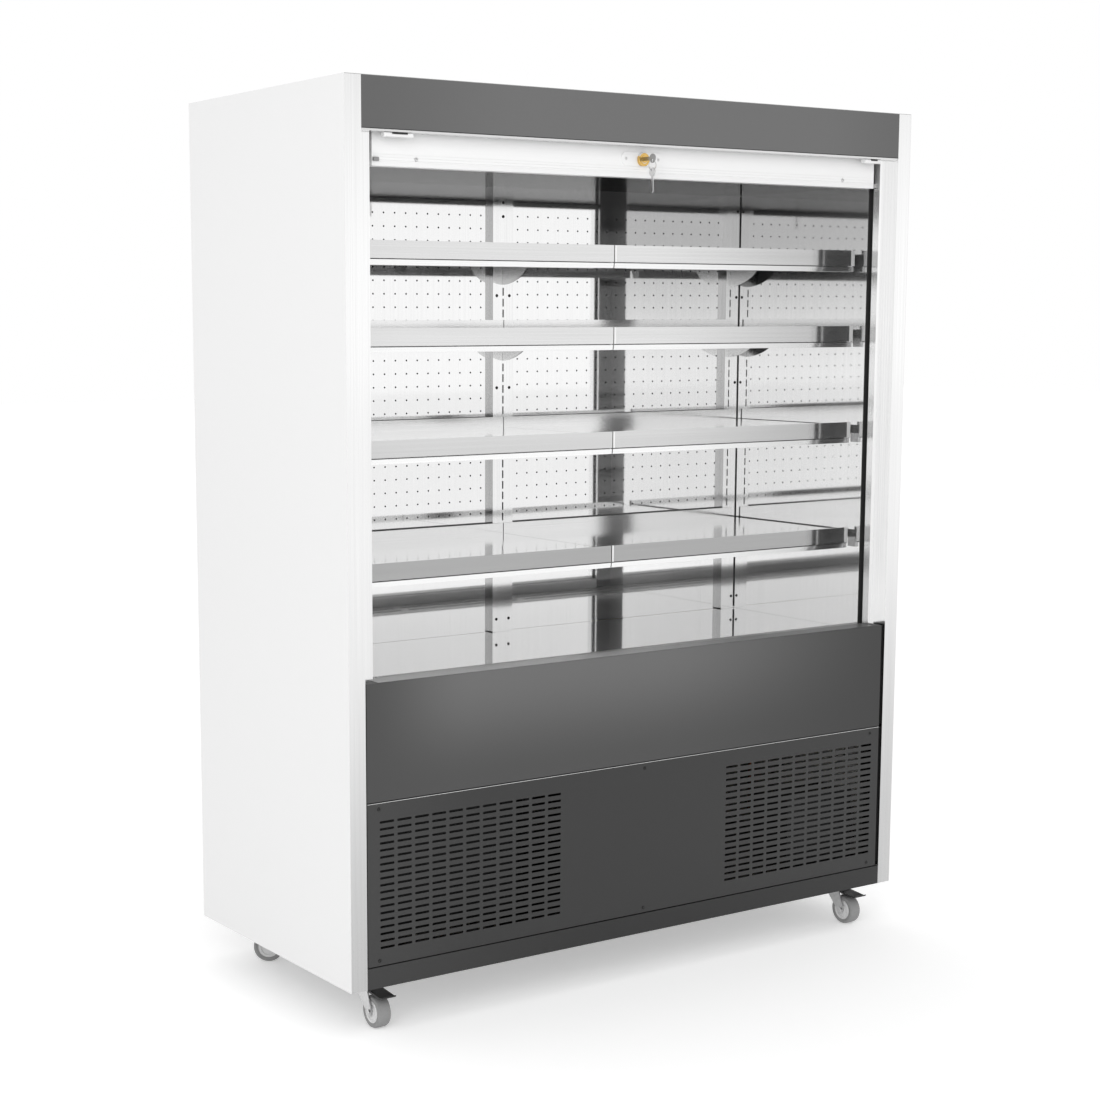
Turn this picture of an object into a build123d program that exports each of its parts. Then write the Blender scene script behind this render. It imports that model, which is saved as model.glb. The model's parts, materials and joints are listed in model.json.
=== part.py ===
"""Open multideck display fridge with a lockable roller shutter, on four casters.

Sizes are millimetres. The row frame has its origin on the floor under the middle of the fridge,
+X to the right as a shopper faces it, the open front toward -Y and +Z up. The functions below
place pieces in the cabinet's own terms: x from the middle, y back from the front face and
z up from the underside of the body, which stands one caster height above the floor.
"""
from build123d import *
import os
from math import cos, radians, sin

os.makedirs("parts", exist_ok=True)

# Driving sizes
WIDTH = 1500.0
DEPTH = 654.0
BODY_H = 1796.0
CASTER_H = 100.0
WALL = 24.0
SKIN = 1.0
LINER = 0.8
PANEL = 1.2
FLOOR_T = 1.5
POST_FACE = 38.0
DECK_DROP = 24.5
TUB_DEPTH = 160.0
TUB_FOAM = 40.0
CANOPY_H = 98.0
CEILING_DROP = 58.0

# Jambs and shutter guides
STEP_Y = 24.0
STEP_W = 32.0
GUIDE_Y = 42.0
GUIDE_W = 16.0
GUIDE_T = 1.5
GUIDE_DEPTH = 24.0
GUIDE_OVERLAP = 15.0
GUIDE_LIP = 5.0
SILL_GAP = 20.5

# Front panels
PLINTH_H = 43.5
LOUVRE_H = 336.0
APRON_H = 240.5
LOUVRE_GAP = 2.0
SEAM = 2.5
SETBACK = 1.5
GAP_LEFT = 3.0
GAP_RIGHT = 9.0
RETURN = 12.0
SILL_Y = 49.0
SLOT_W = 34.0
SLOT_H = 5.0
SLOT_PITCH_X = 41.6
SLOT_PITCH_Z = 14.4
SLOT_ROWS = 19
SLOT_START_X = 230.0
SLOT_MARGIN_X = 30.0
WEB_T = 1.0
WEB_GAP = 0.2
WEB_BORDER = 8.0

# Rear duct, uprights and shelving
BACK_FOAM = 37.8
DUCT_T = 50.0
UPRIGHT_D = 16.0
UPRIGHT_T = 1.5
UPRIGHT_MID_W = 57.0
UPRIGHT_END_W = 43.0
HOLE_LINE = 29.5
HOLE_PITCH = 25.0
HOLE_H = 18.0
HOLE_W = 3.6
HOLE_COUNT = 29
HOLE_DROP = 165.0
SHELF_DROPS = (146.0, 321.0, 546.0, 796.0)
SHELF_FRONT_Y = 130.0
SHELF_REAR_GAP = 2.0
SHELF_END_GAP = 14.5
SHELF_JOINT = 1.0
RAIL_H = 36.0
RAIL_TOTAL_H = 49.0
LIP_W = 7.0
LIP_H = 8.0
UPSTAND_H = 24.0
FLANGE_H = 22.0
BRACKET_T = 3.0
HEEL_DROP = 78.0
DECK_FRONT_Y = 187.0
GRILLE_FRONT_Y = 66.0
GRILLE_BRIDGE = 20.0

# Roller shutter
BAR_Y = 33.0
BAR_T = 24.0
BAR_H = 82.5
BAR_TUCK = 14.0
BAR_GAP = 11.0
BAR_WALL = 2.0
SLAT_BITE = 10.0
SLAT_T = 8.0
SLAT_Y = 50.0
DRUM_Y = 112.0
DRUM_RISE = 22.0
DRUM_R = 25.0
ROLL_R = 57.0
ROLL_SLATS = 24
SPINDLE_R = 8.0
LOCK_X = -6.0
LOCK_DROP = 30.0
LOCK_R = 8.0
RIM_R = 13.5
RIM_T = 7.5
PLATE_L = 112.0
PLATE_H = 28.0
PLATE_T = 1.5
KEY_T = 2.0
BOW_Y = -2.5
BOW_R = 9.5
BOW_HOLE_R = 3.0
BOW_HOLE_DROP = 4.5
BLADE_L = 33.0
RING_R = 10.5
RING_T = 1.5

# Casters
CASTER_INSET_X = 90.0
CASTER_FRONT_Y = 80.0
CASTER_INSET_Y = 78.0
REAR_SWING = 60.0
TRAIL = 30.0
WHEEL_R = 34.0
WHEEL_W = 31.0
WHEEL_SIDES = 32
AXLE_R = 4.0
PLATE_W = 80.0
PLATE_D = 60.0
PLATE_THICK = 3.0
RACE_R = 22.0
RACE_H = 10.0
CROWN_GAP = 0.3
FORK_T = 2.5
FORK_HALF = 20.0
PEDAL_Y = -20.0
PEDAL_Z = -23.0
PEDAL_REACH = 57.0
KNUCKLE_R = 3.0
KNUCKLE_GAP = 0.1

# Fits
RUNNING_FIT = 0.05
HUB_GAP = 0.5

# Cooling system
EVAP_FAN_INSET = 426.0
EVAP_FAN_RISE = 75.0
EVAP_FAN_R = 62.0
EVAP_HUB_R = 18.0
EVAP_HUB_L = 16.0
EVAP_MOTOR_W = 40.0
EVAP_MOTOR_L = 24.0
EVAP_STANDOFF = 18.0
FAN_PLATE_Y = 200.0
COIL_Y = 300.0
COIL_D = 130.0
COIL_INSET = 166.0
COIL_H = 100.0
COIL_RISE = 20.0
BEND_REACH = 16.0
BEND_W = 10.0
BEND_PITCH = 40.0
COND_INSET = 290.0
COND_W = 380.0
COND_H = 280.0
COND_RISE = 60.0
COND_FAN_R = 118.0
COND_HUB_R = 32.0
COND_HUB_L = 26.0
COND_MOTOR_W = 60.0
COND_MOTOR_L = 50.0
COND_STANDOFF = 42.0
SHROUD_D = 10.0
FAN_BLADES = 5
COND_Y = 90.0
COND_T = 60.0
COMPRESSOR_INSET = 420.0
COMPRESSOR_Y = 330.0
POT_R = 95.0
POT_H = 120.0
DOME_H = 45.0
POT_FOOT_H = 18.0
POT_PLATE_MARGIN = 20.0
TERMINAL_W = 60.0
TERMINAL_D = 40.0
TRAY_GAP_LEFT = 80.0
TRAY_GAP_RIGHT = 45.0
TRAY_GAP_FRONT = 110.0
TRAY_D = 300.0
TRAY_H = 44.5
CHASE_INSET = 146.0
CHASE_Y = 320.0
CHASE = 40.0
PIPE_R = 5.0
BOX_INSET = 70.0
BOX_Y = 70.0
BOX_D = 120.0
LID_T = 4.0
LID_RIM = 2.0
BOX_W = 200.0
BOX_H = 160.0
INLET_W = 48.0
INLET_H = 30.0
INLET_Z = 135.0
INLET_D = 30.0
INLET_WALL = 8.0
SOCKET_D = 18.0
PIN_W = 4.0
VENT_W = 260.0
VENT_H = 10.0
VENT_FIRST_Z = 150.0
VENT_PITCH = 40.0
VENT_ROWS = 4

# Derived places
KEY_REACH = BOW_R - BOW_Y
FRONT = (KEY_REACH - DEPTH) / 2
HALF = WIDTH / 2
OPEN_HALF = HALF - POST_FACE
INNER_HALF = HALF - WALL
JAMB_HALF = OPEN_HALF - STEP_W
SKIN_HALF = HALF - SKIN
LINER_HALF = INNER_HALF + LINER
ROOF_Z = BODY_H - SKIN
CANOPY_Z = BODY_H - CANOPY_H
CEILING_Z = CANOPY_Z - CEILING_DROP
GUIDE_TOP_Z = CEILING_Z + GUIDE_OVERLAP
GUIDE_END_Y = GUIDE_Y + GUIDE_W
JAMB_END_Y = GUIDE_END_Y + GUIDE_LIP
LOUVRE_FOOT_Z = PLINTH_H + LOUVRE_GAP
LOUVRE_TOP_Z = LOUVRE_FOOT_Z + LOUVRE_H
APRON_TOP_Z = LOUVRE_TOP_Z + SEAM + APRON_H
GUIDE_FOOT_Z = APRON_TOP_Z - SILL_GAP
DECK_Z = APRON_TOP_Z - DECK_DROP
TUB_FLOOR_Z = DECK_Z - TUB_DEPTH
FOAM_FLOOR_Z = TUB_FLOOR_Z - TUB_FOAM
REAR_Y = DEPTH - SKIN - PANEL
DUCT_Y = REAR_Y - BACK_FOAM
BACK_Y = DUCT_Y - DUCT_T
UPRIGHT_Y = BACK_Y - UPRIGHT_D
SHELF_BACK_Y = UPRIGHT_Y - SHELF_REAR_GAP
SHELF_TOPS = [CEILING_Z - drop for drop in SHELF_DROPS]
HOLE_TOP_Z = CEILING_Z - HOLE_DROP
HOLE_FIRST_Z = HOLE_TOP_Z - HOLE_PITCH * (HOLE_COUNT - 1)
BAR_HALF = JAMB_HALF - BAR_GAP
SLAT_HALF = JAMB_HALF + SLAT_BITE
BAR_TOP_Z = CANOPY_Z + BAR_TUCK
BAR_FOOT_Z = BAR_TOP_Z - BAR_H
DRUM_Z = CANOPY_Z + DRUM_RISE
CURTAIN_TOP_Z = DRUM_Z + SLAT_T / 4
LOCK_Z = CANOPY_Z - LOCK_DROP
RING_Z = LOCK_Z - BOW_HOLE_DROP - RING_R + RING_T / 2
CASTER_X = HALF - CASTER_INSET_X
CASTER_REAR_Y = DEPTH - CASTER_INSET_Y
EVAP_FAN_X = INNER_HALF - EVAP_FAN_INSET
EVAP_FAN_Z = TUB_FLOOR_Z + EVAP_FAN_RISE
COND_FAN_X = COND_INSET - HALF
COND_FAN_Z = COND_RISE + COND_H / 2
COMPRESSOR_X = HALF - COMPRESSOR_INSET
CHASE_X = INNER_HALF - CHASE_INSET
COIL_END_X = CHASE_X - 2.5 * CHASE
EVAP_COIL_X = COIL_INSET - INNER_HALF
BOX_X = HALF - BOX_INSET
INLET_X = BOX_X - BOX_W / 4


def block(x0, x1, y0, y1, z0, z1):
    """A box between two planes each way, in the cabinet's terms."""
    middle = ((x0 + x1) / 2, FRONT + (y0 + y1) / 2, CASTER_H + (z0 + z1) / 2)
    return Pos(*middle) * Box(x1 - x0, y1 - y0, z1 - z0)


def sideways(section, x0, x1):
    """A section drawn in (y, z), carried from x0 to x1 in its own frame."""
    return Pos(X=x0) * extrude(Plane.YZ * section, x1 - x0, dir=(1, 0, 0))


def along_x(section, x0, x1):
    """The same in the cabinet's terms."""
    return Pos(0, FRONT, CASTER_H) * sideways(section, x0, x1)


def along_y(section, y0, y1):
    """A section drawn in (x, z), carried from y0 back to y1."""
    return Pos(0, FRONT + y1, CASTER_H) * extrude(Plane.XZ * section, y1 - y0, dir=(0, -1, 0))


def along_z(section, z0, z1):
    """A section drawn in (x, y), carried from z0 up to z1."""
    return Pos(0, FRONT, CASTER_H + z0) * extrude(section, z1 - z0, dir=(0, 0, 1))


def outline(*points):
    return Polygon(*points, align=None)


def folded(sheet, *points):
    """The section of a bent sheet: the line given and the same line one sheet to its left."""
    line = [Vector(*point) for point in points]
    ways = [(b - a).normalized() for a, b in zip(line, line[1:])]
    ways = [ways[0]] + ways + [ways[-1]]
    offset = []
    for point, before, after in zip(line, ways, ways[1:]):
        left = Vector(-before.Y - after.Y, before.X + after.X)
        offset.append(point + left * (2 * sheet / left.dot(left)))
    return outline(*[(p.X, p.Y) for p in line + offset[::-1]])


def disc(radius, x, z, sides=20):
    return Pos(x, z) * RegularPolygon(radius, sides)


def pivot(radius, x, z):
    """A true circle, for the faces that a joint turns on."""
    return Pos(x, z) * Circle(radius)


def bore(radius, x, z, sides=16):
    """A hole whose flats, not its corners, are the given distance from the middle."""
    return Pos(x, z) * RegularPolygon(radius, sides, major_radius=False)


def both_sides(shape):
    """The left-hand piece and its mirror image on the right."""
    return Compound([shape, mirror(shape, Plane.YZ)])


def save(name, shape):
    shape.label = name
    export_step(shape, f"parts/{name}.step")


# ---------------------------------------------------------------- cabinet shell

def side_panel():
    """Left outer skin with a rear flange, painted."""
    flange = 20.0
    section = folded(SKIN, (-HALF + flange, REAR_Y + SKIN), (-HALF, REAR_Y + SKIN), (-HALF, 0))
    roof_notch = block(-SKIN_HALF, -HALF + flange + 1, REAR_Y - 1, DEPTH, ROOF_Z, BODY_H + 1)
    return along_z(section, 0, BODY_H) - roof_notch


def front_post():
    """Left jamb: face, return, step and the wall the shutter guide sits behind."""
    hem = 18.0
    section = folded(
        PANEL,
        (-SKIN_HALF, hem), (-SKIN_HALF, 0), (-OPEN_HALF, 0), (-OPEN_HALF, STEP_Y),
        (-JAMB_HALF, STEP_Y), (-JAMB_HALF, GUIDE_Y), (-JAMB_HALF - 26, GUIDE_Y),
    )
    post = along_z(section, 0, ROOF_Z)
    foot = block(-OPEN_HALF - PANEL, -JAMB_HALF + 1, PANEL, GUIDE_Y + 1, -1, PLINTH_H + 1)
    return post - foot


def side_liners():
    """Inner side walls, hemmed round the back of the shutter guides."""
    section = folded(
        LINER,
        (-INNER_HALF + 2, GUIDE_END_Y), (-JAMB_HALF, GUIDE_END_Y), (-JAMB_HALF, JAMB_END_Y),
        (-INNER_HALF, JAMB_END_Y), (-INNER_HALF, DUCT_Y),
    )
    liner = along_z(section, TUB_FLOOR_Z, ROOF_Z)
    head = block(-INNER_HALF, -JAMB_HALF + 1, GUIDE_END_Y - 1, JAMB_END_Y + 1, GUIDE_TOP_Z, BODY_H)
    return both_sides(liner - head)


def wall_insulation():
    """Foam slabs: two sides, back, top and the floor under the tub."""
    sides = both_sides(block(-SKIN_HALF, -LINER_HALF, JAMB_END_Y, REAR_Y, FOAM_FLOOR_Z, ROOF_Z))
    back = block(-LINER_HALF, LINER_HALF, DUCT_Y, REAR_Y, FOAM_FLOOR_Z, ROOF_Z)
    top = block(-INNER_HALF, INNER_HALF, DRUM_Y + ROLL_R + 12, DUCT_Y, CANOPY_Z, ROOF_Z)
    floor = block(-LINER_HALF, LINER_HALF, JAMB_END_Y, DUCT_Y, FOAM_FLOOR_Z, TUB_FLOOR_Z)
    return Compound(list(sides) + [back, top, floor - pipe_chase()])


def pipe_chase():
    return block(CHASE_X - CHASE / 2, CHASE_X + CHASE / 2, CHASE_Y - CHASE / 2,
                 CHASE_Y + CHASE / 2, FOAM_FLOOR_Z - 1, DECK_Z - 100)


def rear_panel():
    """Back sheet with two groups of outlet slots and the opening for the mains inlet."""
    sheet = block(-SKIN_HALF, SKIN_HALF, REAR_Y + SKIN, DEPTH, 0, ROOF_Z)
    vents = [
        block(x - VENT_W / 2, x + VENT_W / 2, REAR_Y, DEPTH + 1, z, z + VENT_H)
        for x in (COND_FAN_X, COMPRESSOR_X)
        for z in [VENT_FIRST_Z - VENT_H / 2 + VENT_PITCH * row for row in range(VENT_ROWS)]
    ]
    return sheet - vents - inlet_body(REAR_Y, DEPTH + 1)


def inlet_body(y0, y1):
    return block(INLET_X - INLET_W / 2, INLET_X + INLET_W / 2, y0, y1,
                 INLET_Z - INLET_H / 2, INLET_Z + INLET_H / 2)


def mains_inlet():
    """Appliance inlet set flush in the back sheet, with its socket open to the rear."""
    half_w, half_h = INLET_W / 2 - INLET_WALL, INLET_H / 2 - INLET_WALL + 2
    socket = block(INLET_X - half_w, INLET_X + half_w, DEPTH - SOCKET_D, DEPTH + 1,
                   INLET_Z - half_h, INLET_Z + half_h)
    pins = [block(x - PIN_W / 2, x + PIN_W / 2, DEPTH - SOCKET_D - 0.5, DEPTH - PIN_W,
                  INLET_Z - PIN_W / 2, INLET_Z + PIN_W / 2)
            for x in (INLET_X - 2 * PIN_W, INLET_X, INLET_X + 2 * PIN_W)]
    return inlet_body(DEPTH - INLET_D, DEPTH) - socket + pins


def roof_panel():
    rear_flange = block(-HALF + 21, HALF - 21, REAR_Y, REAR_Y + SKIN, ROOF_Z - 20, ROOF_Z)
    return block(-SKIN_HALF, SKIN_HALF, 0, DEPTH, ROOF_Z, BODY_H) + rear_flange


def base_frame():
    """Folded base tray that carries the compressor and the casters."""
    rim_z = PLINTH_H - 3.5
    outer = block(-SKIN_HALF, SKIN_HALF, GUIDE_Y + 1, REAR_Y, 0, rim_z)
    inner = block(-SKIN_HALF + FLOOR_T, SKIN_HALF - FLOOR_T, GUIDE_Y + 1 + FLOOR_T,
                  REAR_Y - FLOOR_T, FLOOR_T, rim_z + 1)
    return outer - inner


# ---------------------------------------------------------------- front panels

def canopy_panel():
    section = folded(
        PANEL, (24, ROOF_Z), (0, ROOF_Z), (0, CANOPY_Z), (16, CANOPY_Z), (16, CANOPY_Z + 14),
    )
    return along_x(section, -OPEN_HALF, OPEN_HALF)


def apron_panel():
    """Upper front panel with a sill that runs back between the jambs."""
    foot_z = LOUVRE_TOP_Z + SEAM
    section = folded(
        PANEL, (SILL_Y, APRON_TOP_Z), (SETBACK, APRON_TOP_Z), (SETBACK, foot_z),
        (SETBACK + RETURN, foot_z),
    )
    left, right = -OPEN_HALF + GAP_LEFT, OPEN_HALF - GAP_RIGHT
    notch_z = (APRON_TOP_Z - 3, APRON_TOP_Z + 1)
    left_notch = block(left - 1, -JAMB_HALF + 0.5, STEP_Y - 0.5, SILL_Y + 1, *notch_z)
    right_notch = block(JAMB_HALF - 0.5, right + 1, STEP_Y - 0.5, SILL_Y + 1, *notch_z)
    return along_x(section, left, right) - left_notch - right_notch


def louvre_panel():
    """Machine-compartment cover: a shallow tray with two groups of air slots.

    Each row of slots is one slit, and a plate of upright webs close behind the sheet parts it.
    """
    left, right = -OPEN_HALF + GAP_LEFT, OPEN_HALF - GAP_RIGHT
    height = LOUVRE_TOP_Z - LOUVRE_FOOT_Z
    middle = Pos((left + right) / 2, LOUVRE_FOOT_Z + height / 2)
    columns = int((OPEN_HALF - SLOT_MARGIN_X - SLOT_START_X - SLOT_W) / SLOT_PITCH_X) + 1
    slits_w = SLOT_PITCH_X * (columns - 1) + SLOT_W
    slits_h = SLOT_PITCH_Z * (SLOT_ROWS - 1) + SLOT_H
    group_x = SLOT_START_X + slits_w / 2
    groups = [Pos(x, LOUVRE_FOOT_Z + height / 2 - 1.5) for x in (-group_x, group_x)]
    rows = GridLocations(1, SLOT_PITCH_Z, 1, SLOT_ROWS)
    slits = [group * row * Rectangle(slits_w, SLOT_H) for group in groups for row in rows]
    plate = Rectangle(slits_w + 2 * WEB_BORDER, slits_h + 2 * WEB_BORDER)
    spacer = plate - Rectangle(slits_w + 2, slits_h + 2)
    webs = plate - [column * Rectangle(SLOT_W, slits_h + 2)
                    for column in GridLocations(SLOT_PITCH_X, 1, columns, 1)]
    rim = middle * (Rectangle(right - left, height)
                    - Rectangle(right - left - 2 * PANEL, height - 2 * PANEL))
    back_y = SETBACK + PANEL
    panel = along_y(middle * Rectangle(right - left, height) - slits, SETBACK, back_y)
    panel += along_y(rim, back_y, SETBACK + RETURN)
    for group in groups:
        panel += along_y(group * spacer, back_y, back_y + WEB_GAP)
        panel += along_y(group * webs, back_y + WEB_GAP, back_y + WEB_GAP + WEB_T)
    return panel


def plinth():
    section = folded(PANEL, (GUIDE_Y, PLINTH_H), (0, PLINTH_H), (0, 0), (GUIDE_Y, 0))
    return along_x(section, -OPEN_HALF, OPEN_HALF)


# ---------------------------------------------------------------- interior

def ceiling_and_air_outlet():
    """Ceiling sheet with an upstand, and the flat duct and vanes that blow the air curtain."""
    front_y, vane_t = GRILLE_FRONT_Y, 0.8
    section = folded(LINER, (front_y, GUIDE_TOP_Z + 4), (front_y, CEILING_Z), (DUCT_Y, CEILING_Z))
    span = JAMB_HALF - 30
    window = block(-span, span, front_y + 6, front_y + 56, CEILING_Z - 1, CEILING_Z + 2)
    ceiling = along_x(section, -INNER_HALF, INNER_HALF) - window
    y0, z0 = front_y + 2, CEILING_Z + LINER
    duct = folded(LINER, (y0 + 120, z0 + 19), (y0, z0 + 19), (y0, z0))
    vanes = [block(2 - span, span - 2, y, y + vane_t, CEILING_Z, z0 + 12)
             for y in (y0 + 10, y0 + 20, y0 + 30, y0 + 40)]
    return Compound([ceiling, along_x(duct, -INNER_HALF, INNER_HALF)] + vanes)


def back_duct_panels():
    """The two rear panels in front of the air duct, flanged top and bottom."""
    flange = 20.0
    top, foot = CEILING_Z, DECK_Z + 2
    section = folded(
        LINER, (BACK_Y + flange, top), (BACK_Y, top), (BACK_Y, foot), (BACK_Y + flange, foot),
    )
    return both_sides(along_x(section, -INNER_HALF, -0.5))


def slotted_uprights():
    """Three channels with a column of square-ended slots for the bracket hooks."""
    depth = BACK_Y - UPRIGHT_Y
    half = UPRIGHT_MID_W / 2
    middle = folded(UPRIGHT_T, (-half, BACK_Y), (-half, UPRIGHT_Y), (half, UPRIGHT_Y),
                    (half, BACK_Y))
    end = folded(UPRIGHT_T, (-INNER_HALF, UPRIGHT_Y), (-INNER_HALF + UPRIGHT_END_W, UPRIGHT_Y),
                 (-INNER_HALF + UPRIGHT_END_W, UPRIGHT_Y + depth))
    column_z = HOLE_FIRST_Z + HOLE_PITCH * (HOLE_COUNT - 1) / 2
    grid = GridLocations(1, HOLE_PITCH, 1, HOLE_COUNT)
    slots = [
        along_y(Pos(x, column_z) * place * Rectangle(HOLE_W, HOLE_H), UPRIGHT_Y - 1, UPRIGHT_Y + 2)
        for x in (0, -INNER_HALF + HOLE_LINE) for place in grid
    ]
    foot_z, top_z = DECK_Z + 2, CEILING_Z
    end_post = along_z(end, foot_z, top_z) - slots[HOLE_COUNT:]
    middle_post = along_z(middle, foot_z, top_z) - slots[:HOLE_COUNT]
    return Compound([middle_post] + list(both_sides(end_post)))


def shelf_plane(rail_top):
    """Height of the shelf surface behind its raised front lip."""
    return rail_top - LIP_H


def shelf_brackets():
    """Knife-edge brackets: four rows on the three slot lines, each with two hooks."""
    nose_y, belly_y = SHELF_FRONT_Y + 35, UPRIGHT_Y - 98
    brackets = []
    for rail_top in SHELF_TOPS:
        seat = shelf_plane(rail_top) - PANEL
        heel = rail_top - HEEL_DROP
        with BuildSketch() as plate:
            with BuildLine():
                start = Line((nose_y, seat), (UPRIGHT_Y, seat))
                back = Line(start @ 1, (UPRIGHT_Y, heel))
                curve = Bezier(back @ 1, (UPRIGHT_Y - 30, heel), (belly_y + 15, rail_top - 62),
                               (belly_y, rail_top - 39))
                under = Line(curve @ 1, (nose_y, seat - 14))
                Line(under @ 1, start @ 0)
            make_face()
        hooks = [
            Pos(UPRIGHT_Y + 4, z) * Rectangle(8, HOLE_H - 4)
            for z in hook_heights(heel)
        ]
        profile = plate.sketch + hooks
        for x in (-INNER_HALF + HOLE_LINE, 0, INNER_HALF - HOLE_LINE):
            brackets.append(along_x(profile, x - BRACKET_T / 2, x + BRACKET_T / 2))
    return Compound(brackets)


def hook_heights(heel):
    """Centres of the first and third slots above the heel."""
    first = -(-(heel + HOLE_H / 2 - HOLE_FIRST_Z) // HOLE_PITCH)
    return [HOLE_FIRST_Z + HOLE_PITCH * (first + step) for step in (0, 2)]


def shelf(rail_top, x0, x1, wall_end):
    """A bent sheet: rear upstand, shelf, raised lip, price rail and its return, with end caps.

    The end next to the side wall also has a flange folded down over the bracket.
    """
    seat, front = shelf_plane(rail_top), SHELF_FRONT_Y
    rail_foot, foot = rail_top - RAIL_H, rail_top - RAIL_TOTAL_H
    section = folded(
        PANEL, (SHELF_BACK_Y - 1, seat + UPSTAND_H), (SHELF_BACK_Y - 1, seat),
        (front + LIP_W, seat), (front + LIP_W, rail_top), (front, rail_top), (front, rail_foot),
        (front + 3, rail_foot - 2), (front + 3, foot), (front + 28, foot),
    )
    cap = outline((front + PANEL, rail_top - PANEL), (front + PANEL, rail_foot),
                  (front + 4.2, rail_foot - 2), (front + 4.2, foot + PANEL),
                  (front + 28, foot + PANEL), (front + 28, seat - PANEL),
                  (front + LIP_W + 1, seat - PANEL))
    caps = along_x(cap, x0, x0 + PANEL) + along_x(cap, x1 - PANEL, x1)
    flange_x = x0 if wall_end < 0 else x1 - PANEL
    flange = block(flange_x, flange_x + PANEL, front + LIP_W, SHELF_BACK_Y - 1,
                   seat - FLANGE_H, seat - PANEL / 2)
    return along_x(section, x0, x1) + caps + flange


def deck_pan():
    section = folded(PANEL, (BACK_Y - 2, DECK_Z - 15), (BACK_Y - 2, DECK_Z),
                     (DECK_FRONT_Y, DECK_Z), (DECK_FRONT_Y, DECK_Z - 30))
    return along_x(section, -INNER_HALF + 1, INNER_HALF - 1)


def return_grille():
    """Air return in front of the deck, with two rows of long slots."""
    y0, y1 = GRILLE_FRONT_Y, DECK_FRONT_Y - 1
    section = folded(PANEL, (y1, DECK_Z - 15), (y1, DECK_Z), (y0, DECK_Z), (y0, DECK_Z - 15))
    bay = (INNER_HALF - 1) / 2
    reach = bay / 2 - GRILLE_BRIDGE / 2
    slots = [
        block(x - reach, x + reach, y - 6, y + 6, DECK_Z - 2, DECK_Z + 1)
        for x in (-1.5 * bay, -0.5 * bay, 0.5 * bay, 1.5 * bay) for y in (y0 + 40, y0 + 80)
    ]
    return along_x(section, -INNER_HALF + 1, INNER_HALF - 1) - slots


def tub_liner():
    """Sheet-metal tub under the deck that holds the evaporator and its water."""
    front_y = JAMB_END_Y + 2
    section = folded(
        LINER, (SILL_Y - 8, APRON_TOP_Z - PANEL - 1), (front_y - 1, APRON_TOP_Z - PANEL - 1),
    )
    trough = folded(LINER, (front_y, DECK_Z - 16), (front_y, TUB_FLOOR_Z), (DUCT_Y, TUB_FLOOR_Z))
    ledge = along_x(section, -JAMB_HALF + 1, JAMB_HALF - 1)
    web = block(-JAMB_HALF + 1, JAMB_HALF - 1, front_y - 1 - LINER, front_y - 1,
                DECK_Z - 40, APRON_TOP_Z - PANEL - 1)
    skirt = block(-JAMB_HALF + 1, JAMB_HALF - 1, front_y - 1, front_y, DECK_Z - 40, DECK_Z - 16)
    trough = along_x(trough, -INNER_HALF, INNER_HALF) - pipe_chase()
    return trough + ledge + web + skirt


# ---------------------------------------------------------------- roller shutter

def shutter_guides():
    """Dark channels the slat ends run in."""
    inner_y0, inner_y1 = GUIDE_Y + GUIDE_T, GUIDE_END_Y - GUIDE_T
    depth_x = -JAMB_HALF - GUIDE_DEPTH
    section = folded(GUIDE_T, (-JAMB_HALF, inner_y0), (depth_x, inner_y0), (depth_x, inner_y1),
                     (-JAMB_HALF, inner_y1))
    return both_sides(along_z(section, GUIDE_FOOT_Z, GUIDE_TOP_Z))


def shutter_carrier():
    """Rail behind the canopy panel and the two end plates that carry the drum."""
    rail = folded(PANEL, (3, CANOPY_Z - 1), (3, CANOPY_Z - 5.5), (22, CANOPY_Z - 5.5),
                  (22, ROOF_Z - 5))
    plate = outline((JAMB_END_Y + 2, CEILING_Z + 22), (DRUM_Y + 60, CEILING_Z + 22),
                    (DRUM_Y + 60, ROOF_Z - 5), (JAMB_END_Y + 2, ROOF_Z - 5))
    plate -= bore(SPINDLE_R + RUNNING_FIT, DRUM_Y, DRUM_Z)
    plates = both_sides(along_x(plate, -INNER_HALF, -INNER_HALF + 4))
    return Compound([along_x(rail, -OPEN_HALF, OPEN_HALF)] + list(plates))


def shutter_drum():
    tube = along_x(pivot(DRUM_R, DRUM_Y, DRUM_Z), -SLAT_HALF, SLAT_HALF)
    spindle = along_x(disc(SPINDLE_R, DRUM_Y, DRUM_Z, 16), -INNER_HALF + 0.5, INNER_HALF - 0.5)
    return tube + spindle


def shutter_roll():
    """The wound slats: an outline that steps outward slat by slat around the drum."""
    growth = (ROLL_R - DRUM_R - SLAT_T) / ROLL_SLATS
    turn = 360 / (ROLL_SLATS / 2)
    points = []
    for slat in range(ROLL_SLATS // 2):
        angle = radians(slat * turn)
        radius = DRUM_R + SLAT_T + growth * (slat + ROLL_SLATS // 2)
        points.append((DRUM_Y + radius * cos(angle), DRUM_Z + radius * sin(angle)))
    section = outline(*points) - bore(DRUM_R, DRUM_Y, DRUM_Z)
    return along_x(section, -SLAT_HALF, SLAT_HALF)


def shutter_curtain():
    """The stretch of slats between the roll and the bar, which lengthens as the bar comes down."""
    return block(-SLAT_HALF, SLAT_HALF, SLAT_Y - SLAT_T / 2, SLAT_Y + SLAT_T / 2,
                 BAR_FOOT_Z + BAR_H, CURTAIN_TOP_Z)


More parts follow.
